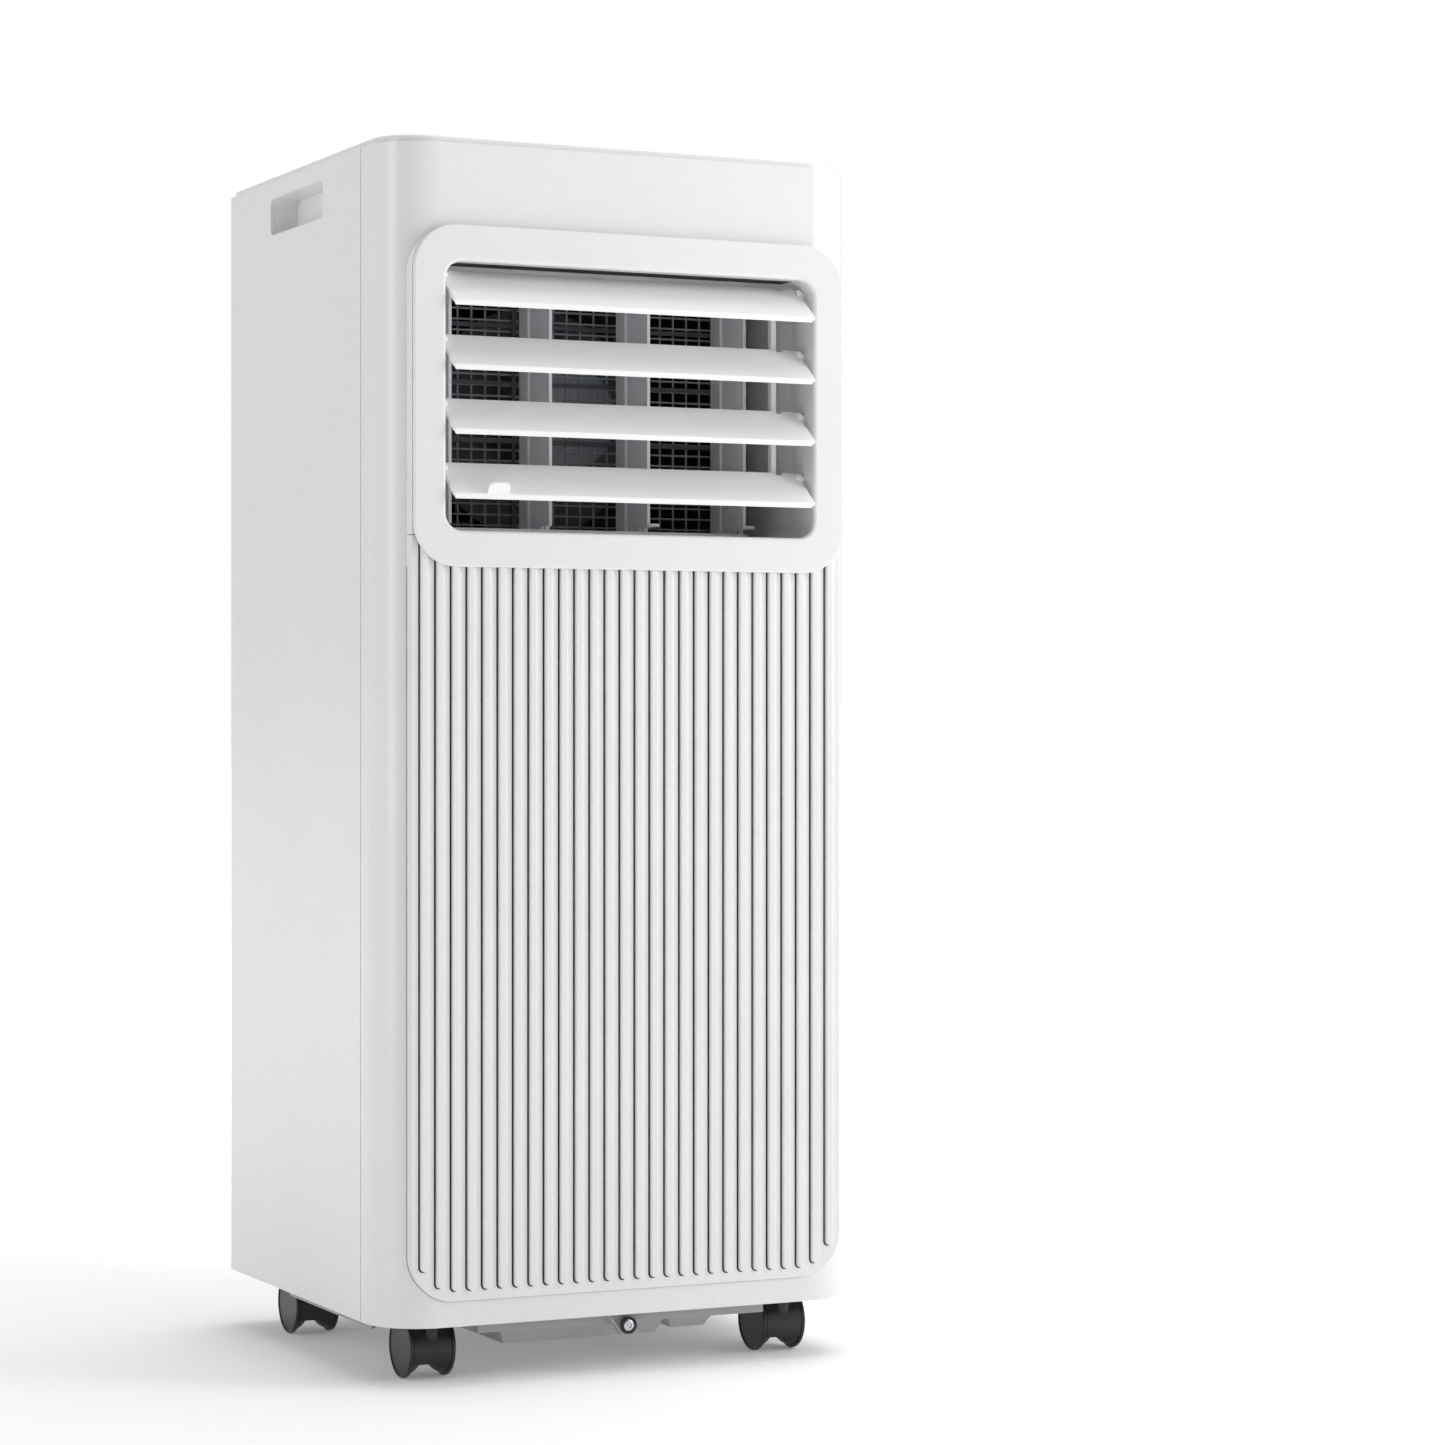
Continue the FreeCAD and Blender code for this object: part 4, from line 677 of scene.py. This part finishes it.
def makeWheelRims():
    for node in castorWheels:
        low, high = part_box(node)
        sink = wheelRim["sink"] * mm
        x = low[0] + sink if node.endswith("l") else high[0] - sink
        bpy.ops.object.select_all(action="DESELECT")
        bpy.ops.mesh.primitive_torus_add(major_radius=wheelRim["radius"] * mm,
                                         minor_radius=wheelRim["wire"] * mm,
                                         major_segments=64, minor_segments=8, rotation=(0, math.pi / 2, 0),
                                         location=(x, (low[1] + high[1]) / 2, (low[2] + high[2]) / 2))
        rim = bpy.context.object
        rim.name = node + "_rim"
        bpy.ops.object.shade_smooth()
        settle(rim, "castorNylon", node)
    print("wheel rims done")


makeWheelRims()


# painted shadow: a thin dark line round the ribbed panel, below the outlet frame, standing in for the shadow at
# the panel's edge

panelShadowLine = {"width": 0.45, "lift": 0.12, "corner": 25.0, "cornerSteps": 12, "run": 6.0, "houseCorner": 32.0}


def pathPiece(name, places, radius, resolution):
    # a round line through the given places, made a mesh
    line = bpy.data.curves.new(name, "CURVE")
    line.dimensions = "3D"
    line.bevel_depth = radius
    line.bevel_resolution = resolution
    spline = line.splines.new("POLY")
    spline.points.add(len(places) - 1)
    for point, place in zip(spline.points, places):
        point.co = (*place, 1)
    piece = bpy.data.objects.new(name, line)
    bpy.context.scene.collection.objects.link(piece)
    selectOnly(piece)
    bpy.ops.object.convert(target="MESH")
    piece = bpy.context.object
    bpy.ops.object.shade_smooth()
    return piece


def makePanelShadowLine():
    low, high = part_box("rib_panel")
    wide, bottom, top = high[0], low[2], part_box("louvre_frame")[0][2]
    radius, steps = panelShadowLine["corner"] * mm, panelShadowLine["cornerSteps"]
    points = [(-wide, top)]
    for centre, start in ((-wide + radius, 180), (wide - radius, 270)):
        for step in range(steps + 1):
            angle = math.radians(start + 90 * step / steps)
            points.append((centre + radius * math.cos(angle), bottom + radius + radius * math.sin(angle)))
    points.append((wide, top))
    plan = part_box("front_housing")
    bend = panelShadowLine["houseCorner"] * mm
    flat = plan[1][0] - bend

    def surface(x):
        # the housing's front, which turns away on a radius at its edges
        over = max(abs(x) - flat, 0)
        return plan[0][1] + bend - math.sqrt(max(bend ** 2 - over ** 2, 0))

    dense = []
    for (x0, z0), (x1, z1) in zip(points, points[1:]):
        pieces = max(1, int(math.hypot(x1 - x0, z1 - z0) / (panelShadowLine["run"] * mm)))
        dense += [(x0 + (x1 - x0) * k / pieces, z0 + (z1 - z0) * k / pieces) for k in range(pieces)]
    dense.append(points[-1])
    places = [(x, surface(x) - panelShadowLine["lift"] * mm, z) for x, z in dense]
    shadePiece = pathPiece("panelShadowLine", places, panelShadowLine["width"] * mm / 2, 1)
    settle(shadePiece, "nitrileRubber", "chassis")
    print("panel seal done")


makePanelShadowLine()


# tab screw, its rubber ring and the tab's raised border

tabScrew = {
    "height": 26.5, "ring": (4.9, 3.3), "ringDepth": 1.5, "ringProud": 0.4, "ringEdge": 0.35,
    "head": 3.0, "headDepth": 1.0, "headProud": 0.7, "socket": 1.5, "socketWall": 0.5, "socketDepth": 0.7,
    "dome": 0.25, "edge": 0.12, "pin": 0.8, "pinDepth": 0.9, "pinProud": 0.75,
    "border": 0.7, "borderTop": 33.0, "topHalf": 13.0, "topInset": 0.9, "tipRadius": 6.5,
    "lean": 30, "tipSteps": 12,      # the sides' lean in degrees
}


def turnedRing(name, outer, inner, depth, x, y, z, rounding):
    # a flat ring facing -Y, its edges rounded
    bpy.ops.object.select_all(action="DESELECT")
    bpy.ops.mesh.primitive_cylinder_add(vertices=48, radius=outer, depth=depth, location=(x, y, z),
                                        rotation=(math.pi / 2, 0, 0))
    ring = bpy.context.object
    ring.name = name
    bpy.ops.object.transform_apply(location=True, rotation=True, scale=True)
    bpy.ops.object.mode_set(mode="EDIT")
    selectWhere(ring, "FACE", lambda f: abs(f.normal.y) > 0.9)
    bpy.ops.mesh.inset(thickness=outer - inner, depth=0)
    bpy.ops.mesh.bridge_edge_loops()
    bpy.ops.object.mode_set(mode="OBJECT")
    applyModifier(ring, "BEVEL", {"width": rounding, "segments": 3, "limit_method": "ANGLE",
                                  "angle_limit": math.radians(40)})
    bpy.ops.object.shade_smooth_by_angle(angle=math.radians(40))
    return ring


def makeTabScrew():
    face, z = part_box("base_pan")[0][1], tabScrew["height"] * mm
    outer, inner = tabScrew["ring"]
    ring = turnedRing("tabGrommet", outer * mm, inner * mm, tabScrew["ringDepth"] * mm, 0,
                      face - tabScrew["ringProud"] * mm, z, tabScrew["ringEdge"] * mm)
    settle(ring, "nitrileRubber", "chassis")
    bpy.ops.object.select_all(action="DESELECT")
    bpy.ops.mesh.primitive_cylinder_add(vertices=48, radius=tabScrew["head"] * mm,
                                        depth=tabScrew["headDepth"] * mm, rotation=(math.pi / 2, 0, 0),
                                        location=(0, face - tabScrew["headProud"] * mm, z))
    head = bpy.context.object
    head.name = "tabScrewHead"
    bpy.ops.object.transform_apply(location=True, rotation=True, scale=True)
    bpy.ops.object.mode_set(mode="EDIT")
    selectWhere(head, "FACE", lambda f: f.normal.y < -0.9)
    rise = tabScrew["head"] - tabScrew["socket"] - tabScrew["socketWall"]
    bpy.ops.mesh.inset(thickness=rise * mm, depth=tabScrew["dome"] * mm)
    bpy.ops.mesh.inset(thickness=tabScrew["socketWall"] * mm, depth=0)
    bpy.ops.mesh.inset(thickness=0.02 * mm, depth=-tabScrew["socketDepth"] * mm)
    bpy.ops.object.mode_set(mode="OBJECT")
    applyModifier(head, "BEVEL", {"width": tabScrew["edge"] * mm, "segments": 2, "limit_method": "ANGLE",
                                  "angle_limit": math.radians(40)})
    bpy.ops.object.shade_smooth_by_angle(angle=math.radians(40))
    settle(head, "zincPlate", "chassis")
    # six-sided pin standing in the socket
    bpy.ops.mesh.primitive_cylinder_add(vertices=6, radius=tabScrew["pin"] * mm,
                                        depth=tabScrew["pinDepth"] * mm,
                                        location=(0, face - tabScrew["pinProud"] * mm, z),
                                        rotation=(math.pi / 2, 0.3, 0))
    pin = bpy.context.object
    pin.name = "tabScrewPin"
    bpy.ops.object.transform_apply(location=True, rotation=True, scale=True)
    applyModifier(pin, "BEVEL", {"width": tabScrew["edge"] * mm, "segments": 2})
    settle(pin, "zincPlate", "chassis")
    # raised border along the tab's two sloping sides and round its tip
    reach = (tabScrew["tipRadius"] - tabScrew["border"]) * mm
    lean, steps = math.radians(tabScrew["lean"]), tabScrew["tipSteps"]
    side, top = (tabScrew["topHalf"] - tabScrew["topInset"]) * mm, tabScrew["borderTop"] * mm
    points = [(-side, top)]
    for step in range(steps + 1):
        angle = math.pi + lean + (math.pi - 2 * lean) * step / steps
        points.append((reach * math.cos(angle), z + reach * math.sin(angle)))
    points.append((side, top))
    places = [(x, face - 0.1 * mm, height) for x, height in points]
    border = pathPiece("tabBorder", places, tabScrew["border"] / 2 * mm, 3)
    settle(border, "panPolypropylene", "chassis")
    print("tab screw done")


makeTabScrew()


# control deck: printed signs on the buttons

deckSigns = {"line": 0.45, "height": 0.12, "size": 5.4, "lift": 0.03}
buttonDish = {"lip": 1.6, "flange": 1.4, "rim": 0.9, "slope": 0.6, "depth": 0.35, "rounding": 0.55}


def signRing(name, x, y, z, outer, start, stop, steps=28):
    # part of a flat printed ring, laid on a surface facing up
    inner = outer - deckSigns["line"] * mm
    bpy.ops.mesh.primitive_plane_add(size=1, location=(0, 0, 0))
    sign = bpy.context.object
    sign.name = name
    shape = bmesh.new()
    rows = []
    for step in range(steps + 1):
        angle = start + (stop - start) * step / steps
        rows.append([shape.verts.new((x + radius * math.cos(angle), y + radius * math.sin(angle), z))
                     for radius in (inner, outer)])
    for a, b in zip(rows, rows[1:]):
        shape.faces.new((a[0], a[1], b[1], b[0]))
    shape.to_mesh(sign.data)
    shape.free()
    return sign


def signBar(name, x, y, z, wide, tall, turn=0.0):
    bpy.ops.mesh.primitive_plane_add(size=1, location=(x, y, z), rotation=(0, 0, turn))
    bar = bpy.context.object
    bar.name = name
    bar.scale = (wide, tall, 1)
    bpy.ops.object.transform_apply(location=True, rotation=True, scale=True)
    return bar


def dishedButton(nodeName):
    # a turned key with a dished top, its edge rounded, and the flange that holds it under the cap
    low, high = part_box(nodeName)
    x, y = (low[0] + high[0]) / 2, (low[1] + high[1]) / 2
    wide = (high[0] - low[0]) / 2
    stem, flange = wide - buttonDish["lip"] * mm, buttonDish["flange"] * mm
    bpy.ops.object.select_all(action="DESELECT")
    bpy.ops.mesh.primitive_cylinder_add(vertices=64, radius=wide, depth=flange,
                                        location=(x, y, low[2] + flange / 2))
    button = bpy.context.object
    button.name = nodeName + "_key"
    bpy.ops.object.transform_apply(location=True, rotation=True, scale=True)
    bpy.ops.object.mode_set(mode="EDIT")
    selectWhere(button, "FACE", lambda f: f.normal.z > 0.9)
    bpy.ops.mesh.inset(thickness=wide - stem, depth=0)
    bpy.ops.mesh.extrude_region_move(TRANSFORM_OT_translate={"value": (0, 0, high[2] - low[2] - flange)})
    bpy.ops.mesh.inset(thickness=buttonDish["rim"] * mm, depth=0)
    bpy.ops.mesh.inset(thickness=buttonDish["slope"] * mm, depth=-buttonDish["depth"] * mm)
    selectWhere(button, "EDGE", lambda e: all(v.co.z > high[2] - 0.01 * mm
                                              and math.hypot(v.co.x - x, v.co.y - y) > stem - 0.01 * mm
                                              for v in e.verts))
    bpy.ops.mesh.bevel(offset=buttonDish["rounding"] * mm, segments=4, affect="EDGES")
    bpy.ops.object.mode_set(mode="OBJECT")
    bpy.ops.object.shade_smooth_by_angle(angle=math.radians(40))
    slotName, body = placeOf(nodeName)
    settle(button, "buttonSilicone", body)
    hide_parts(nodeName)


def makeDeckSigns():
    line, radius = deckSigns["line"] * mm, deckSigns["size"] / 2 * mm
    for name in ("power", "mode", "fan", "down", "up"):
        node = "button_" + name
        low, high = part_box(node)
        dishedButton(node)
        x, y = (low[0] + high[0]) / 2, (low[1] + high[1]) / 2
        z = high[2] - (buttonDish["depth"] - deckSigns["lift"]) * mm
        bpy.ops.object.select_all(action="DESELECT")
        if name == "power":
            parts = [signRing("s", x, y, z, radius, math.radians(120), math.radians(420)),
                     signBar("s", x, y + radius * 0.75, z, line, radius * 1.1)]
        elif name == "mode":
            parts = [signRing("s", x, y, z, radius * 0.55, 0, 2 * math.pi)]
            for step in range(8):
                angle = step * math.pi / 4
                away = radius * 0.86
                parts.append(signBar("s", x + away * math.cos(angle), y + away * math.sin(angle), z,
                                     radius * 0.3, line, angle))
        elif name == "fan":
            parts = [signBar("s", x, y + shift * mm, z, radius * wide, line)
                     for shift, wide in ((-1.6, 1.2), (0, 1.9), (1.6, 1.5))]
        else:
            lean = math.radians(40) * (1 if name == "up" else -1)
            parts = [signBar("s", x - radius * 0.36, y, z, radius, line, lean),
                     signBar("s", x + radius * 0.36, y, z, radius, line, -lean)]
        sign = joined(parts, "sign_" + name)
        applyModifier(sign, "SOLIDIFY", {"thickness": deckSigns["height"] * mm, "offset": 0})
        slotName, body = placeOf(node)
        settle(sign, "printedInk", body)
    print("deck signs done")


makeDeckSigns()
